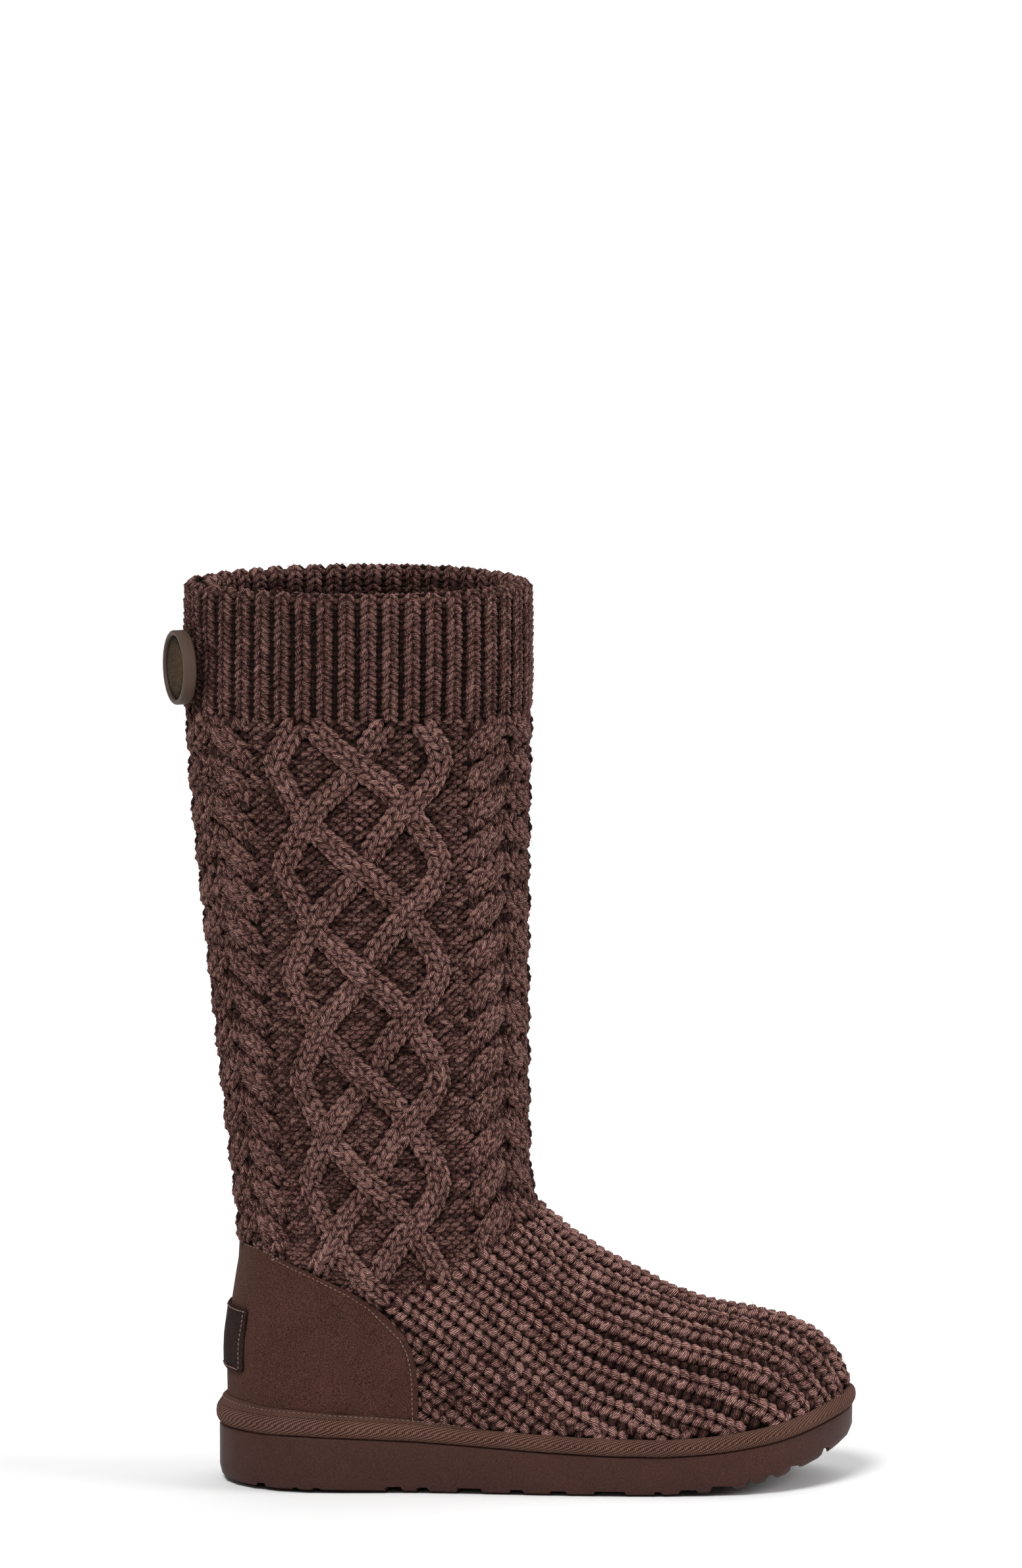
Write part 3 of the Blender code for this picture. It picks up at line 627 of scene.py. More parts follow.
def chart_path(side, across, down, lift):
    """Places and normals of a path on a panel's chart. Down is the height in millimetres."""
    heights = down * MM
    points, outs = on_shaft(heights, chart_way(side, across, heights))
    return points + outs * (lift * MM)[:, None], outs


def beside(across, down, distance):
    """A chart path moved sideways."""
    du, dz = np.gradient(across), np.gradient(down)
    length = np.hypot(du, dz)
    return across - dz / length * distance, down + du / length * distance


def lay_cable(stitches, side, middle):
    """A horseshoe cable: two mirrored halves, each of two strands that pass over each other."""
    down = np.arange(CUFF_BOTTOM, CHART_ENDS[0], CHART_STEP)
    top, pitch, growth = CABLE_CROSSINGS[1 if middle > 0 else -1]
    crossing = (np.sqrt(pitch**2 + 4 * growth * (top - down)) - pitch) / (2 * growth)
    turns = [math.pi * (crossing - 0.5 + strand) for strand in (0, 1)]
    swings = [np.sin(STRAND_SHARPNESS * np.cos(t)) / math.sin(STRAND_SHARPNESS) for t in turns]
    for hand in (-1, 1):
        ways = [middle + hand * (STRAND_MIDDLE - STRAND_SWING * swing) for swing in swings]
        for strand in (0, 1):
            rise = np.sin(turns[strand])
            over = np.sin(turns[1 - strand]) > STRAND_OVER
            cover = np.stack([ways[1 - strand][over], down[over]], axis=1)
            for column in (-1, 0, 1):
                u, z = beside(ways[strand], down, column * CABLE_STITCH[1])
                crown = CABLE_CROWN if column == 0 else 0.0
                points, outs = chart_path(side, u, z, CABLE_LIFT[0] + CABLE_LIFT[1] * rise + crown)
                gaps = np.stack([u, z], axis=1)[:, None] - cover[None]
                bare = np.linalg.norm(gaps, axis=2).min(axis=1) > STRAND_COVERS
                shown = ((rise > STRAND_SHOWN) | bare) & (over_edge(points) > 0)
                shade = CABLE_SHADE[0] * np.minimum(rise, CABLE_SHADE[1]) + CABLE_SHADE[2]
                lean = CABLE_LEAN * column
                stitches.column(points, outs, CABLE_STITCH, keep=shown, lean=lean, shade=shade)


def lay_lattice(stitches, side):
    """Four strands that zigzag across the panel's middle and cross at every quarter period."""
    down = np.arange(CUFF_BOTTOM, CHART_ENDS[0], CHART_STEP)
    reach = np.interp(down, LATTICE_HEIGHTS, LATTICE_SWING[::-1])
    for strand in range(4):
        quarter = (4 * (LATTICE_CROSSING - down) / LATTICE_PERIOD + strand + 1) % 4 - 1
        heading = np.cos(math.pi / 2 * quarter)
        forward = np.interp(quarter, *zip(*LATTICE_FORWARD))
        back = np.interp(quarter - 2, *zip(*LATTICE_BACK))
        shape = np.pad(np.where(quarter < 1, forward, back), 2, mode="edge")
        across = reach * np.convolve(shape, np.ones(5) / 5, "valid")
        weave = np.cos(2 * math.pi * across / LATTICE_SWING[0])
        fade = np.clip(LATTICE_FADE[0] - np.abs(across) / (reach * LATTICE_FADE[1]), 0, 1)
        lift = LATTICE_LIFT[0] + LATTICE_LIFT[1] * np.sign(heading) * weave * fade
        for column in (-0.5, 0.5):
            points, outs = chart_path(side, *beside(across, down, column * LATTICE_STITCH[1]), lift)
            shown = over_edge(points) > 0
            stitches.column(points, outs, LATTICE_STITCH, keep=shown, lean=LATTICE_LEAN * column)


def lay_ground(stitches, cables, side):
    """Purl bumps in the gaps of the lattice and in the gutters beside the cables."""
    near = tree_of(np.concatenate([row[:, :3] for row in stitches.rows + cables.rows]))
    draw = stitches.random.normal
    for k, z in enumerate(np.arange(CUFF_BOTTOM, CHART_ENDS[1], -PURL_SPACING[1] / 2)):
        across = (np.arange(-20, 21) + (0.5 if k % 2 else 0.0)) * PURL_SPACING[0]
        across = across[np.abs(across) < NOMINAL_HALF + (PURL_SHARED if side > 0 else 0)]
        points, outs = chart_path(side, across, z + 0 * across, PURL_LIFT + 0 * across)
        free = [near.find(Vector(point))[2] > PURL_CLEARANCE for point in points]
        chosen = np.array(free) & (over_edge(points) > 0)
        points, outs = points[chosen], outs[chosen]
        count = len(points)
        level = unit(np.cross(UP, outs))
        along = swung(level, unit(np.cross(outs, level)), PURL_SLANT + draw(0, 0.22, count))
        size = np.array(PURL) * draw(1, 0.08, (count, 3))
        points = points + outs * draw(0, 0.25 * MM, (count, 1))
        stitches.add(points, along, outs, size, draw(0.35, 0.2, count))


for side, label in ((1, "lateral"), (-1, "medial")):
    lattice = Stitches(KNIT_SEED + side)
    cables = Stitches(KNIT_SEED + 30 + side)
    lay_lattice(lattice, side)
    lay_cable(cables, side, CABLE_MIDDLE)
    lay_cable(cables, side, -CABLE_MIDDLE)
    tuck_under(cables, TUCK_SINKS[0])
    tuck_under(lattice, TUCK_SINKS[0])
    strands = len(lattice.rows)
    lay_ground(lattice, cables, side)
    tuck_under(lattice, TUCK_SINKS[1], strands)
    shade_hollows([lattice, cables])
    for part, name in ((lattice, "lattice_"), (cables, "cables_")):
        piece = lay(part, name + label, stitch_leg, yarn_finish)
        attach(piece, "root")

# Ribbed cuff
# The thick one-by-one rib above the panels, knitted double so that it shows ribs on both faces
# of the rim. Its lateral end laps over the medial end at the back, where the button holds it.
RIB_COUNT = 41
RIB_AT = (-50.1 * MM, 350 * MM)  # where one rib's middle stands in the side view, and its height
RIB_STITCH = (2.86, 6.6, (3.2, 7.2, 3.1), math.radians(41))
RIB_LIFT = 0.7
RIB_TOP = 378.6
RIB_BOTTOMS = (329.0, 326.0)  # outside and inside
RIM_DEPTH = 4.5
RIB_SHADE = -0.25
# Painted shade on the inside face's stitches: darker below the rim, deeper in the boot.
RIM_SHADES = ((366, 378), (-0.7, 0.0))  # the inside's tone, by height
GROOVE_BEAD = (2.8, 3.8, 2.6)
GROOVE = ((0.0, 4.0, 8.0), (-0.1, 0.5, 1.3), (-0.1, -0.1, -0.1), (1.0, 1.0, 1.0))
BUTTON_PRESSES = (1.0, 21.0, 4.0)  # how deep the button's thread pulls the cuff in, and how wide


def rib_path(share, grid, halves, face, bottom):
    """A path that starts at the middle of the rim and runs down one face of the cuff. Share is
    the way round from the back, from -0.5 to 0.5, and face is 1 outside and -1 inside."""
    heights = np.arange(RIB_TOP, bottom, -0.8) * MM
    places, outs = on_shaft(heights, 2 * share * half_way(heights, share, halves), grid)
    outs = outs * face
    level = outs[0] * (1, 1, 0)
    level /= np.linalg.norm(level)
    turn = np.radians(np.arange(90, 0, -12.0))
    over = swung(level, UP, turn)
    rim = places[0] - level * (RIM_DEPTH / 2) * MM + over * (RIM_DEPTH / 2 + RIB_LIFT) * MM
    return np.concatenate([rim, places + outs * RIB_LIFT * MM]), np.concatenate([over, outs])


def bead_row(stitches, points, outs, pitch, size, groove):
    """Short purl loops that lie across a path, set down in the groove between two ribs. The
    groove is rows of distances along the path, depths there, tones and growths in size."""
    ways = way_along(points)
    wanted = np.arange(pitch * MM, ways[-1], pitch * MM)
    place, ahead = [read_at(wanted + further, ways, points) for further in (0, MM)]
    out = unit(read_at(wanted, ways, outs))
    depth, tone, growth = [np.interp(wanted / MM, groove[0], row) for row in groove[1:]]
    size = np.array(size) * growth[:, None] * stitches.random.normal(1, 0.1, (len(wanted), 3))
    tone = tone + stitches.random.normal(0, 0.12, len(wanted))
    across = np.cross(out, ahead - place + 1e-9)
    stitches.add(place - out * depth[:, None] * MM, across, out, size, tone)


def lay_cuff(grid, halves, face, bottom, name):
    """All the ribs of one face of the cuff, as one object."""
    cuff = Stitches(KNIT_SEED + 5 + face)
    ways = np.linspace(0, 0.5, 200)
    found, _ = on_shaft(RIB_AT[1] + 0 * ways, 2 * ways * half_way(RIB_AT[1], 1))
    first = np.interp(RIB_AT[0], found[:, 0], ways)
    depth, radius, fade = BUTTON_PRESSES
    for rib in range(RIB_COUNT):
        share = (first + (rib + (0.5 if face < 0 else 0.0)) / RIB_COUNT + 0.5) % 1 - 0.5
        points, outs = rib_path(share, grid, halves, face, bottom)
        shade = np.interp(points[:, 2] / MM, *RIM_SHADES)
        if face > 0:
            away = np.linalg.norm(points - np.mean(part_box("button"), axis=0), axis=1) / MM
            points = points - outs * (depth * np.clip((radius - away) / fade, 0, 1))[:, None] * MM
            shade = RIB_SHADE
        cuff.column(points, outs, RIB_STITCH, tilt=0.35, shade=shade)
        share = (share + 0.5 / RIB_COUNT + 0.5) % 1 - 0.5
        points, outs = rib_path(share, grid, halves, face, bottom)
        bead_row(cuff, points, outs, RIB_STITCH[0], GROOVE_BEAD, GROOVE)
    shade_hollows([cuff])
    piece = lay(cuff, name, stitch_leg, yarn_finish)
    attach(piece, "root")


lay_cuff(shaft_grid, half_ways, 1, RIB_BOTTOMS[0], "cuff_knit_outside")
lay_cuff(*level_grid(inside=True), -1, RIB_BOTTOMS[1], "cuff_knit_inside")

# Foot's ribbed knit
# Broad knit ribs that run from the ankle over the foot and fan out round the toe. They are the
# same yarn in a looser gauge, worked toward the heel, and the binding covers their lower ends.
FOOT_LOW, FOOT_HIGH, FOOT_STEP = -63 * MM, 140.6 * MM, 1.5 * MM
BAND_LOW, BAND_HIGH, BAND_STEP = -4 * MM, 130 * MM, 2 * MM
RIDGE_LINE = [(-10, 0.0), (20, 0.4), (60, 2.2), (99, 5.8), (117, 8.0), (146, 10.7)]
WALE_COUNT = 14  # on each side of the ridge
WALE_TRACK = (140.5, -60.0)
WALE_WIDTHS = [(35, 11.0), (50, 10.8), (63, 11.2), (85, 11.5), (107, 13.0), (118, 14.0), (126, 15.5)]
WALE_FANS = [(35, 1.0), (85, 2.5), (107, 2.0)]
FANNED_FROM = 3.5  # wales
RIDGE_FALL = 0.72  # how fast the wales' top line would rise behind the instep
RIDGE_FROM = 15 * MM
FOOT_STITCH = (4.4, 9.2, (4.7, 7.4, 3.9), math.radians(38))
FOOT_GAUGES = [(60, 1.0), (105, 1.02)]
FOOT_TONE = 0.2
FOOT_LIFT = 1.1
FOOT_BEAD = (4.2, 5.8, 3.4)
FOOT_GROOVE = ((0.0, 45.0, 85.0), (-0.3, 0.0, 0.5), (0.3, 0.25, 0.1), (1.15, 1.1, 1.0))
FOOT_RUNS_UP, FOOT_SINK = 4.0, 1.8  # under the shaft's knit
FOOT_RUNS_DOWN, FOOT_RUNS_BACK = -1.5 * MM, -9  # under the binding, and the counter
SHORTEST_RUN = 5  # points of a wale's track
# Where the stitches that fill the edge over the binding may lie, and round the toe's tip
EDGE_TRACK = (-36, 139)
EDGE_HEIGHTS = (0.8, 3.6)
EDGE_PITCH = 2.2
EDGE_CLEARANCE = 3.1 * MM
TIP_CENTRE = (116 * MM, 8 * MM)
TIP_STEP, TIP_REACH = 4.0, 90  # degrees
TIP_HEIGHTS = (41.0, 51.0)

binding_tree = BVHTree.FromBMesh(welded("welt_binding"))


def tape_top(x, side):
    """Height of the top of the binding beside a place along the foot."""
    rays = [((x, -side * aside, 0.1), (0, 0, -1)) for aside in np.arange(30, 56, 1.0) * MM]
    return max([place.z for place, _ in hits_of(binding_tree, rays)], default=-1)


def foot_grid_of(side):
    """One side of the foot by planes across it and by the way up from the binding. Also the way
    from the binding to the ridge, for each plane."""
    planes = np.arange(FOOT_LOW, FOOT_HIGH, FOOT_STEP)
    reach = np.arange(BAND_LOW, BAND_HIGH, BAND_STEP)
    tops = np.array([tape_top(x, side) for x in planes])
    known = tops > 0
    rows, totals = [], []
    for x, top in zip(planes, np.interp(planes, planes[known], tops[known])):
        middle = np.interp(x / MM, *zip(*RIDGE_LINE)) * MM
        centre = Vector((x, middle, top + 5 * MM))
        turns = np.radians(np.arange(-30, 98, 2.0))
        rays = [Vector((0, -side * math.cos(turn), math.sin(turn))) for turn in turns]
        arc = [outer_hit(wall_tree, centre, ray, 0.2) for ray in rays]
        arc = np.array([hit for hit in arc if hit])
        ways = way_along(arc)
        ways -= np.interp(top, arc[:12, 2], ways[:12])
        totals.append(np.interp(0, (arc[:, 1] - middle) * side, ways))
        rows.append(read_at(reach, ways, arc))
    start = np.interp(RIDGE_FROM, planes, totals)
    totals = np.where(planes > RIDGE_FROM, totals, start + (RIDGE_FROM - planes) * RIDGE_FALL)
    return planes, smoothed(gridded(np.array(rows)), 2), totals


def on_foot(grid, side, track, up):
    """Places and outward normals on the foot, for places along it and ways up, in metres."""
    points, outs = read_grid(grid, (track - FOOT_LOW) / FOOT_STEP, (up - BAND_LOW) / BAND_STEP)
    return points, outs * -side


def fill_edge(stitches, grid, side):
    """Legs of stitches in what is bare between the ribs' ends and the binding."""
    track = np.arange(*EDGE_TRACK, EDGE_PITCH) * MM
    heights = np.repeat(EDGE_HEIGHTS, len(track)) * MM
    places, outs = on_foot(grid, side, np.tile(track, len(EDGE_HEIGHTS)), heights)
    spots = [spot for spot, away in zip(zip(places, outs), past_counter(places)) if away > 0]
    for angle in np.radians(np.arange(0 if side > 0 else TIP_STEP, TIP_REACH, TIP_STEP)):
        ray = Vector((math.cos(angle), -side * math.sin(angle), 0))
        for z in np.arange(*TIP_HEIGHTS, EDGE_PITCH) * MM:
            hit = outer_hit(wall_tree, Vector((*TIP_CENTRE, z)), ray, 0.2)
            spots += [(hit, ray)] if hit else []
    near = tree_of(stitches.table()[:, :3])
    chosen = []
    for place, out in spots:
        close = [np.linalg.norm(np.subtract(place, other)) < EDGE_CLEARANCE for other, _ in chosen]
        if near.find(Vector(place))[2] > EDGE_CLEARANCE and not any(close):
            chosen.append((place, out))
    places, outs = [np.array(values) for values in zip(*chosen)]
    outs, count = unit(outs), len(places)
    level = unit(np.cross(UP, outs))
    angle = np.where(np.arange(count) % 2, 1, -1) * FOOT_STITCH[3]
    along = swung(np.cross(level, outs), level, angle)
    size = np.array(FOOT_STITCH[2]) * stitches.random.normal(1, 0.05, (count, 3))
    tone = stitches.random.normal(0.5, 0.1, count)
    stitches.add(places + outs * FOOT_LIFT * MM, along, outs, size, tone)


track = np.arange(*WALE_TRACK, -1.0)
wale_width = np.interp(track, *zip(*WALE_WIDTHS))
wale_fan = np.interp(track, *zip(*WALE_FANS))
for side, label in ((1, "lateral"), (-1, "medial")):
    planes, foot_grid, totals = foot_grid_of(side)
    foot = Stitches(KNIT_SEED + 20 + side)
    for half_step in range(2 * WALE_COUNT):
        wale = half_step / 2
        depth = wale * wale_width + wale_fan * max(0, wale - FANNED_FROM)
        up = np.interp(track * MM, planes, totals) - depth * MM
        points, outs = on_foot(foot_grid, side, track * MM, up)
        over = over_edge(points)
        shown = (up > FOOT_RUNS_DOWN) & (over < FOOT_RUNS_UP)
        shown &= past_counter(points) > FOOT_RUNS_BACK
        points = points - outs * (FOOT_SINK * np.clip(over / FOOT_RUNS_UP + 0.2, 0, 1))[:, None] * MM
        runs = np.flatnonzero(np.diff(np.concatenate([[0], shown.astype(int), [0]])))
        for first, last in zip(runs[::2], runs[1::2]):
            if last - first < SHORTEST_RUN:
                continue
            p, o = points[first:last], outs[first:last]
            if half_step % 2:
                gauge = np.interp(p[:, 0] / MM, *zip(*FOOT_GAUGES))
                p = p + o * FOOT_LIFT * MM
                foot.column(p, o, FOOT_STITCH, tilt=0.32, gauge=gauge, shade=FOOT_TONE)
            elif side > 0 or wale > 0:
                bead_row(foot, p, o, FOOT_STITCH[0], FOOT_BEAD, FOOT_GROOVE)
    fill_edge(foot, foot_grid, side)
    tuck_under(foot, TUCK_SINKS[2])
    shade_hollows([foot])
    piece = lay(foot, "foot_knit_" + label, stitch_leg, yarn_finish)
    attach(piece, "root")

# Heel counter
# A cup of brushed suede that wraps the heel over the foot's knit. It is lasted on, skived at
# the edge, and held by one row of pale thread that runs just inside its knitted edge.
SUEDE_COLORS = ((0.013, 0.0042, 0.0036), (0.110, 0.049, 0.036))
NAP_SHEEN = (0.9, 0.6, 0.5)
THREAD_COLOR = (0.27, 0.175, 0.14)
THREAD_STITCH = (0.55, 1.5, 0.5)
THREAD_LIFT, THREAD_ENDS = 0.15 * MM, 0.8 * MM
SEAM_INSETS = [(-100, 1.4), (-75, 1.5), (-62, 2.0), (-50, 2.9), (-44, 2.5)]
SEAM_CENTRE, SEAM_RADIUS = (-72.0, 0.8), 47
SEAM_SIDE_FROM = -101  # the seam is found from the side in front of this, and from behind there
SEAM_TURN = 50.0  # degrees to each side of the back


def leather_like(
    name, colors, grain, roughness, depth, specular, sheen=0.0, clouds=0.5, span=(0.45, 1.05)
):
    """Suede, leather or foam: a fine nap with broad clouds, on the object's coordinates."""
    material, tree, shader = finish_of(name, roughness, sheen, NAP_SHEEN, specular)
    surface = nap_over(tree, grain, 55.0)
    shade = total(surface["Speckle"], (surface["Cloud"], clouds))
    dress(shader, shade, list(zip(span, colors)), surface["Speckle"], depth)
    rough = {"Value": surface["Cloud"], "To Min": roughness - 0.06, "To Max": roughness + 0.06}
    tree.links.new(put(tree, "MapRange", rough)["Result"], shader.inputs["Roughness"])
    return material


def scaled(color, factor):
    """A colour that many times as bright."""
    return tuple(factor * c for c in color)


def sewn_row(path, outs, name, stitch=THREAD_STITCH, gap=0.6):
    """A row of single stitches along a path."""
    row = Stitches(KNIT_SEED + 40)
    path, ways = np.array(path), way_along(np.array(path))
    wanted = np.arange(THREAD_ENDS, ways[-1] - THREAD_ENDS, (stitch[1] + gap) * MM)
    place, ahead = [read_at(wanted + further, ways, path) for further in (0, 0.5 * MM)]
    out = unit(read_at(wanted, ways, np.array(outs)))
    size = np.array(stitch) * row.random.normal(1, 0.06, (len(place), 3))
    tone = row.random.normal(0.5, 0.2, len(place))
    row.add(place + out * THREAD_LIFT, ahead - place, out, size, tone)
    piece = lay(row, name, stitch_leg, thread_finish, unevenness=0.04)
    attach(piece, "root")


suede_finish = leather_like(
    "Brushed suede", SUEDE_COLORS, grain=2200.0, roughness=0.95, depth=0.35 * MM,
    specular=0.08, sheen=0.06, clouds=0.12, span=(0.36, 0.82),
)
thread_colors = [scaled(THREAD_COLOR, factor) for factor in (0.35, 1.0, 1.5)]
thread_finish = yarn_material("Pale thread", thread_colors, 3.0, 0.1 * MM)
counter_mesh = welded("heel_counter")
counter_tree = BVHTree.FromBMesh(counter_mesh)
counter = object_of(counter_mesh, "heel_counter_suede", [suede_finish], 40)
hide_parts("heel_counter")
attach(counter, "root")

line = np.array(COUNTER_LINE)
line_run = unit(np.gradient(line, axis=0))
seam_inset = np.interp(line[:, 0], *zip(*SEAM_INSETS))
seam_line = line - np.stack([-line_run[:, 1], line_run[:, 0]], axis=1) * seam_inset[:, None]
flank = read_at(np.linspace(0, 1, 160) * (len(line) - 1), np.arange(len(line)), seam_line)
flank = flank[flank[:, 0] > SEAM_SIDE_FROM]
rays = [((x * MM, -0.1, z * MM), (0, 1, 0)) for x, z in flank[::-1]]
for turn in np.radians(np.arange(SEAM_TURN, -SEAM_TURN - 0.5, -1.0)):
    ray = Vector((math.cos(turn), math.sin(turn), 0))
    z = np.interp(SEAM_CENTRE[0] - SEAM_RADIUS * math.cos(turn), *seam_line.T)
    rays.append((Vector((*SEAM_CENTRE, z)) * MM - ray * 0.12, ray))
rays += [((x * MM, 0.1, z * MM), (0, -1, 0)) for x, z in flank]
sewn_row(*zip(*hits_of(counter_tree, rays)), "counter_stitching")

# Heel patch
# A rectangle of dark, slightly oily leather, sewn to the back of the counter round its edge.
# It is one flat piece, bare of any mark.
PATCH_COLORS = ((0.009, 0.0056, 0.0056), (0.034, 0.0200, 0.0170))
PATCH_STITCH = (0.65, 1.6, 0.6)
PATCH_SEAM = ((-20.55, 22.15), (49.65, 74.35))  # across and up

patch_finish = leather_like(
    "Oiled leather", PATCH_COLORS, grain=900.0, roughness=0.8, depth=0.12 * MM, specular=0.04
)
patch_mesh = welded("heel_patch")
patch_tree = BVHTree.FromBMesh(patch_mesh)
patch = object_of(patch_mesh, "heel_patch_leather", [patch_finish], 40)
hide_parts("heel_patch")
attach(patch, "root")

(left, right), (low, high) = PATCH_SEAM
corners = np.array([(left, low), (left, high), (right, high), (right, low), (left, low)])
rays = []
for start, end in zip(corners, corners[1:]):
    spots = (start + (end - start) * share for share in np.linspace(0, 1, 60))
    rays += [((-0.2, *spot * MM), (1, 0, 0)) for spot in spots]
sewn_row(*zip(*hits_of(patch_tree, rays)), "patch_stitching", PATCH_STITCH, gap=0.4)

# Binding
# A twill tape, folded and rolled over the seam of the upper and the sole, and sewn down under
# its lower edge. The twill's ribs cross the roll on a slant.
TAPE_COLORS = ((0.014, 0.0062, 0.0050), (0.088, 0.041, 0.030), (0.21, 0.110, 0.080))
TAPE_CENTRE = 10 * MM
TAPE_HEIGHTS = (15, 42)  # that it is looked for at
TAPE_EDGE = 1.2 * MM
TAPE_HALF = (2.65, 3.6)  # out from the seam and up
TAPE_IN = 2.3
TAPE_SIDES = 14
TAPE_ROUND = 3.1 * MM  # its radius in the twill's pattern
TAPE_GROWS = [(-146, 0.8), (-110, 0.6), (-60, 0.4), (-15, 0.0)]  # fuller toward the heel
TWILL_RIBS, TWILL_YARNS = 330.0, 1150.0  # in a metre
# How far the tape's sewn edge stands over the roll along the foot, from the heel to the arch
FLANGE_RISES = [(-125, 4.4), (-105, 3.2), (-75, 1.9), (-45, 1.6), (-30, 1.0), (-12, 0.0)]
FLANGE_THICKNESS = 0.7
FLANGE_STITCH = (0.5, 1.3, 0.45)

turns = np.radians(np.arange(0, 360, 1.0))
contour = []
for angle in turns:
    ray = Vector((math.cos(angle), math.sin(angle), 0))
    tries = []
    for z in np.arange(*TAPE_HEIGHTS, 0.5) * MM:
        hit = outer_hit(binding_tree, Vector((TAPE_CENTRE, 0, z)), ray, 0.25)
        if hit:
            tries.append((math.hypot(hit.x - TAPE_CENTRE, hit.y), z))
    reach = max(tries)[0]
    contour.append((reach, np.mean([z for far, z in tries if far > reach - TAPE_EDGE])))
contour = np.array(contour)
for _ in range(4):
    contour = (np.roll(contour, 1, 0) + 2 * contour + np.roll(contour, -1, 0)) / 4
reach, height = contour.T
tape_line = np.stack([TAPE_CENTRE + reach * np.cos(turns), reach * np.sin(turns), height], axis=1)
tape_extra = np.interp(tape_line[:, 0] / MM, *zip(*TAPE_GROWS))
tape_line[:, 2] += tape_extra * MM
tape_out = unit(np.cross(np.roll(tape_line, -1, 0) - np.roll(tape_line, 1, 0), UP))
tape_ways = way_along(np.vstack([tape_line, tape_line[:1]]))
turns = 2 * math.pi * np.arange(TAPE_SIDES) / TAPE_SIDES
wide = np.copysign(np.abs(np.cos(turns)) ** 0.85, np.cos(turns))
tall = np.copysign(np.abs(np.sin(turns)) ** 0.9, np.sin(turns))
tape_rings = []
for place, out, extra in zip(tape_line, tape_out, tape_extra):
    aside = out * (TAPE_HALF[0] * wide - TAPE_IN)[:, None]
    tape_rings.append(place + (aside + UP * ((TAPE_HALF[1] + extra) * tall)[:, None]) * MM)
tape_mesh = tube(tape_rings, tape_ways, 2 * math.pi * TAPE_ROUND / TAPE_SIDES, joined=True)


def twill_material(name):
    """Twill: fine ribs on a slant, over broader bands, on the tape's UV map in metres."""
    material, tree, shader = finish_of(name, 0.9, sheen=0.03, tint=NAP_SHEEN, specular=0.06)
    along, across, _ = put(tree, "SeparateXYZ", {0: put(tree, "UVMap", uv_map="UVMap")[0]})
    slanted = total(calc("MULTIPLY", along, -1.0), (across, 2.7))
    opposed = total(along, (across, 0.5))
    ribs, yarns = [
        calc("SINE", calc("MULTIPLY", way, 2 * math.pi * count))
        for way, count in ((slanted, TWILL_RIBS), (opposed, TWILL_YARNS))
    ]
    rib = total(0.5, (ribs, 0.5))
    grain = nap_over(tree, 2600.0, 50.0)["Height"]
    shade = total(calc("MULTIPLY", rib, 0.55), (yarns, 0.24), (grain, 0.5))
    height = total(rib, (yarns, 0.25))
    dress(shader, shade, list(zip((0.15, 0.75, 1.35), TAPE_COLORS)), height, 0.35 * MM)
    return material


twill_finish = twill_material("Rolled twill")
tape = object_of(tape_mesh, "binding_tape", [twill_finish], 180)
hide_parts("welt_binding")
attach(tape, "root")

flange_rings, flange_ways, flange_seam = [], [], []
for place, out, way, extra in zip(tape_line, tape_out, tape_ways, tape_extra):
    rise = np.interp(place[0] / MM, *zip(*FLANGE_RISES))
    if rise <= 0:
        continue
    crest = place + (UP * (TAPE_HALF[1] + extra - 0.2) + out * (0.9 - TAPE_IN)) * MM
    start = Vector((*(place + out * 0.02)[:2], place[2] + (TAPE_HALF[1] + rise) * MM))
    found = counter_tree.ray_cast(start, Vector(-out))[0] or wall_tree.ray_cast(start, Vector(-out))[0]
    lean = np.array(found) + out * 0.2 * MM
    thick = out * FLANGE_THICKNESS * MM
    bend = (crest + lean) / 2 + thick / 2 + UP * FLANGE_THICKNESS / 2 * MM
    inner = crest - (out * 1.5 + UP) * MM
    flange_rings.append([crest + out * 0.4 * MM, bend, lean + thick, lean - thick, inner])
    flange_ways.append(way * 1.7)
    flange_seam.append((bend, out + UP))
flange_mesh = tube(flange_rings, flange_ways, 2.6 * MM)
flange = object_of(flange_mesh, "binding_flange", [twill_finish], 50)
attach(flange, "root")
sewn_row(*zip(*flange_seam), "binding_stitching", FLANGE_STITCH, gap=0.9)

# Outsole
# One light moulded foam sole with shallow lugs, satin on its sides and matt underneath. It is
# cemented to the upper, and the binding covers the joint.
FOAM_COLORS = ((0.022, 0.0068, 0.0048), (0.062, 0.0222, 0.0158))


def round_edges(piece, width, angle):
    """Rounds the edges that are sharper than an angle in degrees."""
    rounding = piece.modifiers.new("Rounded edges", "BEVEL")
    rounding.width = width
    rounding.segments = 2
    rounding.limit_method = "ANGLE"
    rounding.angle_limit = math.radians(angle)


foam_finish = leather_like(
    "Moulded foam", FOAM_COLORS, grain=1500.0, roughness=0.6, depth=0.05 * MM,
    specular=0.2, clouds=0.25, span=(0.35, 0.9),
)
sole = object_of(welded("outsole"), "outsole_foam", [foam_finish], 32)
round_edges(sole, 0.5 * MM, 38)
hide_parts("outsole")
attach(sole, "root")

# Insole
# A cushioned sock liner covered in short pile fleece. It is cut to the inside of the upper, and
# laid loose on the sole.
FLEECE_COLORS = ((0.055, 0.031, 0.025), (0.17, 0.105, 0.085))

fleece_finish = leather_like(
    "Short pile fleece", FLEECE_COLORS, grain=500.0, roughness=1.0, depth=1.2 * MM,
    specular=0.1, sheen=0.4,
)
insole = object_of(welded("insole"), "insole_fleece", [fleece_finish], 50)
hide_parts("insole")
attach(insole, "root")

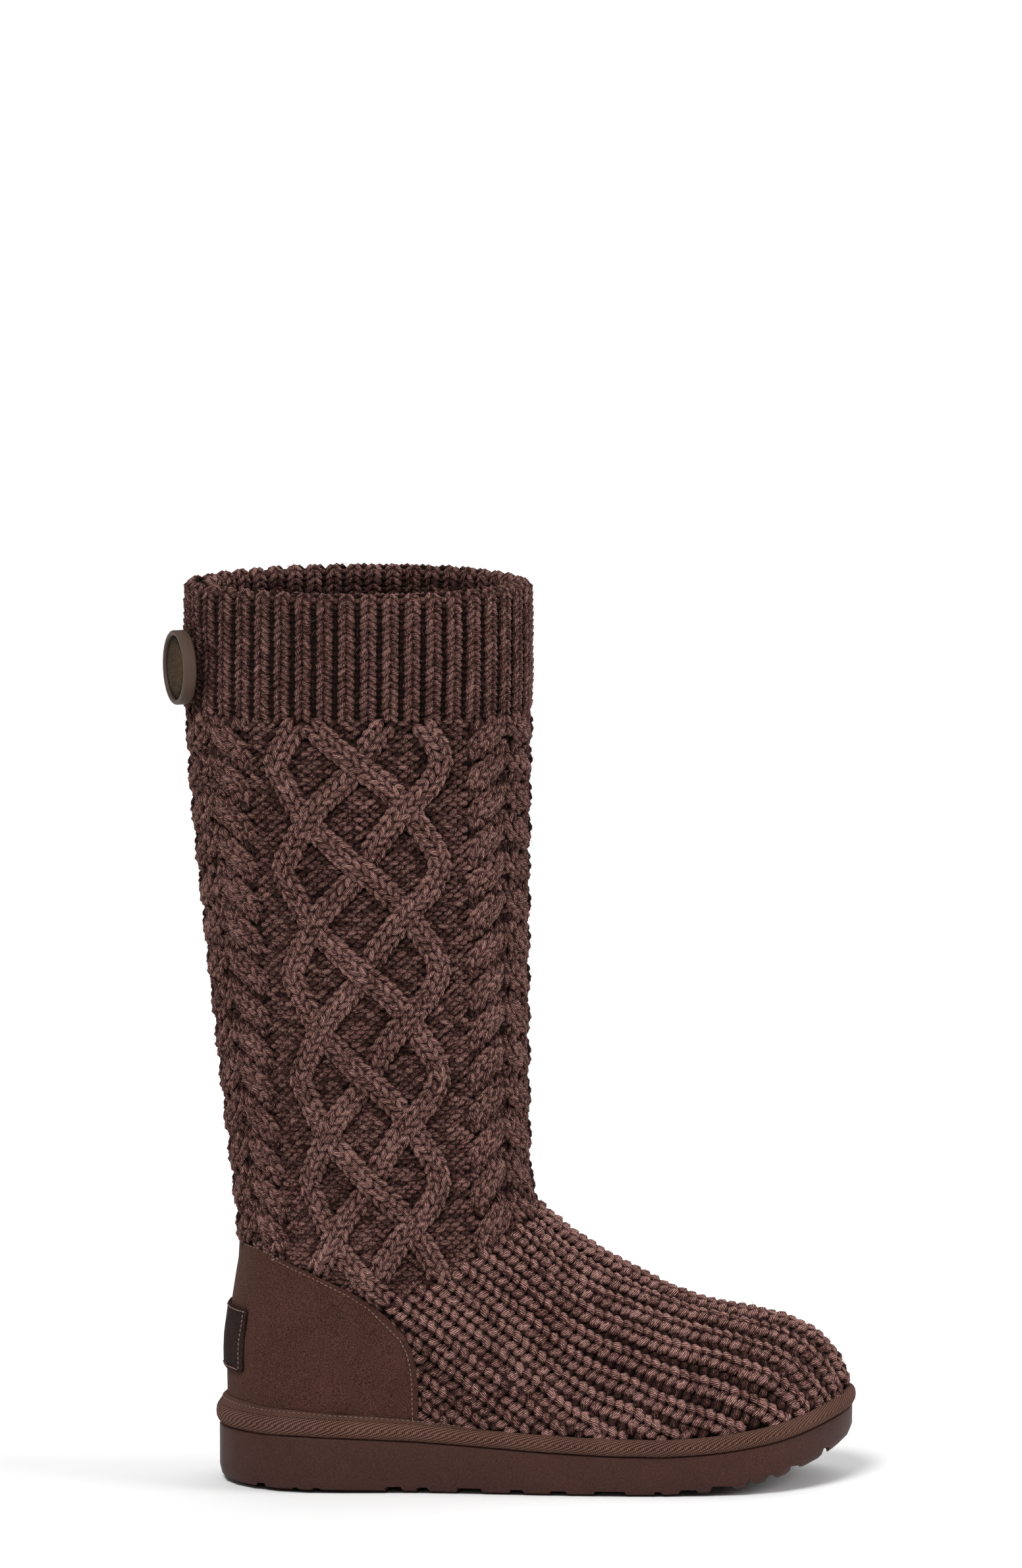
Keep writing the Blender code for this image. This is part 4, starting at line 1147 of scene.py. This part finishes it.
# Wool fuzz
# Loose ends of fibre that stand off the knit, thickest on the raised strands and the cuff's rim.
# They are the yarn's own wool, teased out by wear and brushing.
FUZZ_COUNTS = {"lattice": 1400, "cables": 1800, "cuff": 1800, "foot": 600}
FUZZ_LENGTH = (2.2, 6.5)
FUZZ_GIRTH = 0.011  # of its length
FUZZ_FROM = 2.25 * MM  # the thinnest stitch that it grows on
FUZZ_COLOR = (0.17, 0.105, 0.088)

# One bent fibre: a three-sided tube that tapers to a point at each end
fibre_mesh = bmesh.new()
fibre_rings = []
for along, rise in ((-0.2, 0.10), (0.22, 0.13)):
    spots = [(math.cos(2 * math.pi * k / 3), math.sin(2 * math.pi * k / 3)) for k in range(3)]
    spots = [(FUZZ_GIRTH * x, along, rise + FUZZ_GIRTH * z) for x, z in spots]
    fibre_rings.append([fibre_mesh.verts.new(spot) for spot in spots])
tail, tip = [fibre_mesh.verts.new(spot) for spot in ((0, -0.5, -0.10), (0, 0.5, 0.02))]
for k in range(3):
    (a, b), (c, d) = [(ring[k], ring[(k + 1) % 3]) for ring in fibre_rings]
    for corners in ((tail, a, b), (a, c, d, b), (c, tip, d)):
        fibre_mesh.faces.new(corners)
bmesh.ops.recalc_face_normals(fibre_mesh, faces=fibre_mesh.faces)
fibre = object_of(fibre_mesh, "wool_fibre")

fuzz_finish, fuzz_tree, fuzz_shader = finish_of("Loose wool", 0.9, specular=0.05)
fuzz_tone = put(fuzz_tree, "Attribute", attribute_name="tone")["Fac"]
dress(fuzz_shader, fuzz_tone, ((0.2, scaled(FUZZ_COLOR, 0.35)), (1.0, FUZZ_COLOR)))
fuzz = Stitches(KNIT_SEED + 60)
for kind, count in FUZZ_COUNTS.items():
    rows = np.concatenate([table for name, table in knit_tables.items() if name.startswith(kind)])
    rows = rows[rows[:, 11] > FUZZ_FROM]
    rows = rows[fuzz.random.choice(len(rows), count, replace=False)]
    outs = rows[:, 6:9]
    level = unit(fuzz.random.normal(0, 1, outs.shape))
    along = unit(np.cross(outs, level) + outs * fuzz.random.uniform(-0.2, 0.7, (count, 1)))
    sideways = unit(np.cross(along, unit(outs + fuzz.random.normal(0, 0.4, outs.shape))))
    length = fuzz.random.uniform(*FUZZ_LENGTH, (count, 1))
    places = rows[:, :3] + outs * rows[:, 11:12] * 0.5
    fuzz.add(places, along, np.cross(sideways, along), length, fuzz.random.uniform(0, 1, count))
fuzz_piece = lay(fuzz, "wool_fuzz", fibre, fuzz_finish, unevenness=0.3)
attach(fuzz_piece, "root")

# Button
# A turned coat button in matt horn-coloured plastic with a raised lip, and a mottled bronze
# leather disc glued into its face. A wrapped thread shank holds it off the cuff.
HORN_COLORS = ((0.060, 0.036, 0.026), (0.092, 0.058, 0.042))
BRONZE_COLORS = ((0.010, 0.0072, 0.0052), (0.100, 0.066, 0.038))
# The disc darkens toward its edge: painted shade that the button's raised lip casts over it, blended in
# from the first distance to the second.
BRONZE_EDGE_SHADE = (0.004, 0.0028, 0.0022)
EDGE_SHADE_FROM, EDGE_SHADE_TO = 9.5 * MM, 13.2 * MM  # from the disc's middle

horn_finish = leather_like(
    "Matt horn plastic", HORN_COLORS, grain=2600.0, roughness=0.55, depth=0.02 * MM,
    specular=0.2, clouds=0.3,
)
bronze_finish = leather_like(
    "Mottled leather", BRONZE_COLORS, grain=1300.0, roughness=0.8, depth=0.3 * MM,
    specular=0.03, span=(0.5, 1.15),
)
button = object_of(welded("button"), "coat_button", [horn_finish], 35)
round_edges(button, 0.35 * MM, 30)
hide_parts("button")
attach(button, "root")
inlay = object_of(welded("button_inlay"), "button_disc", [bronze_finish], 35)
disc_tree = bronze_finish.node_tree
disc_color = disc_tree.nodes["Principled BSDF"].inputs["Base Color"]
# Painted shade under the lip: the disc's colour goes to the edge colour near its rim.
ends = {0: put(disc_tree, "TexCoord")["Object"], 1: tuple(np.mean(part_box("button_inlay"), axis=0))}
from_middle = put(disc_tree, "VectorMath", ends, operation="DISTANCE")["Value"]
rim = {"Value": from_middle, "From Min": EDGE_SHADE_FROM, "From Max": EDGE_SHADE_TO}
mixed = {0: put(disc_tree, "MapRange", rim)["Result"], 6: disc_color.links[0].from_socket}
mixed[7] = (*BRONZE_EDGE_SHADE, 1)
disc_tree.links.new(put(disc_tree, "Mix", mixed, data_type="RGBA")[2], disc_color)
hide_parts("button_inlay")
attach(inlay, "root")

# Studio
# A plain pale floor and soft light from large panels, and a camera far off with a long lens.
# They show the boot as in the photograph, and are no part of it.
PIXEL = 0.2777 * MM  # of the photograph, at the boot
IMAGE_SIZE = (1552, 2380)
CAMERA_DISTANCE = 10.0
CAMERA_ELEVATION = math.radians(8.8)
CAMERA_TARGET = Vector((0, 0, 190 * MM))
TARGET_PIXEL = (774.4, 1568)
SENSOR_HEIGHT = 36.0
FLOOR_GREYS = (0.86, 0.9)
WORLD_STRENGTH = 0.28
# Where each light comes from, how wide it spreads in degrees, and how strong it is
SOFT_LIGHTS = [
    ((-0.35, -0.9, 1.1), 22, 2.5),
    ((1.0, -0.25, 0.6), 30, 1.35),
    ((0.3, 0.5, 1.0), 60, 0.95),
]
scene = bpy.context.scene

camera_data = bpy.data.cameras.new("camera")
camera_data.sensor_fit = "VERTICAL"
camera_data.sensor_height = SENSOR_HEIGHT
camera_data.lens = SENSOR_HEIGHT * CAMERA_DISTANCE / (PIXEL * IMAGE_SIZE[1])
camera_data.clip_end = 100
camera = bpy.data.objects.new("camera", camera_data)
scene.collection.objects.link(camera)
backward = Vector((0, -math.cos(CAMERA_ELEVATION), math.sin(CAMERA_ELEVATION)))
aside = (IMAGE_SIZE[0] / 2 - TARGET_PIXEL[0]) * PIXEL
camera.location = CAMERA_TARGET + backward * CAMERA_DISTANCE + Vector((aside, 0, 0))
tip_up = math.atan((TARGET_PIXEL[1] - IMAGE_SIZE[1] / 2) * PIXEL / CAMERA_DISTANCE)
camera.rotation_euler = (math.pi / 2 - CAMERA_ELEVATION + tip_up, 0, 0)
scene.camera = camera

floor_material, floor_tree, floor_shader = finish_of("Pale floor", 0.9)
floor_stops = [(k, (grey, grey, grey)) for k, grey in enumerate(FLOOR_GREYS)]
dress(floor_shader, nap_over(floor_tree, 300.0, 3.0)["Cloud"], floor_stops)
floor_mesh = bmesh.new()
bmesh.ops.create_grid(floor_mesh, x_segments=8, y_segments=8, size=30)
floor = object_of(floor_mesh, "floor", [floor_material])

world = bpy.data.worlds.new("Studio")
world.use_nodes = True
world.node_tree.nodes["Background"].inputs["Color"].default_value = (1, 1, 1, 1)
world.node_tree.nodes["Background"].inputs["Strength"].default_value = WORLD_STRENGTH
scene.world = world
for number, (direction, width, strength) in enumerate(SOFT_LIGHTS):
    light = bpy.data.lights.new("soft_light_%d" % number, "SUN")
    light.angle = math.radians(width)
    light.energy = strength
    lamp = bpy.data.objects.new(light.name, light)
    lamp.location = Vector(direction) * 3
    lamp.rotation_euler = (-Vector(direction)).to_track_quat("-Z", "Y").to_euler()
    scene.collection.objects.link(lamp)
scene.view_settings.view_transform = "Standard"

bpy.data.objects.remove(stitch_leg)
bpy.data.objects.remove(fibre)
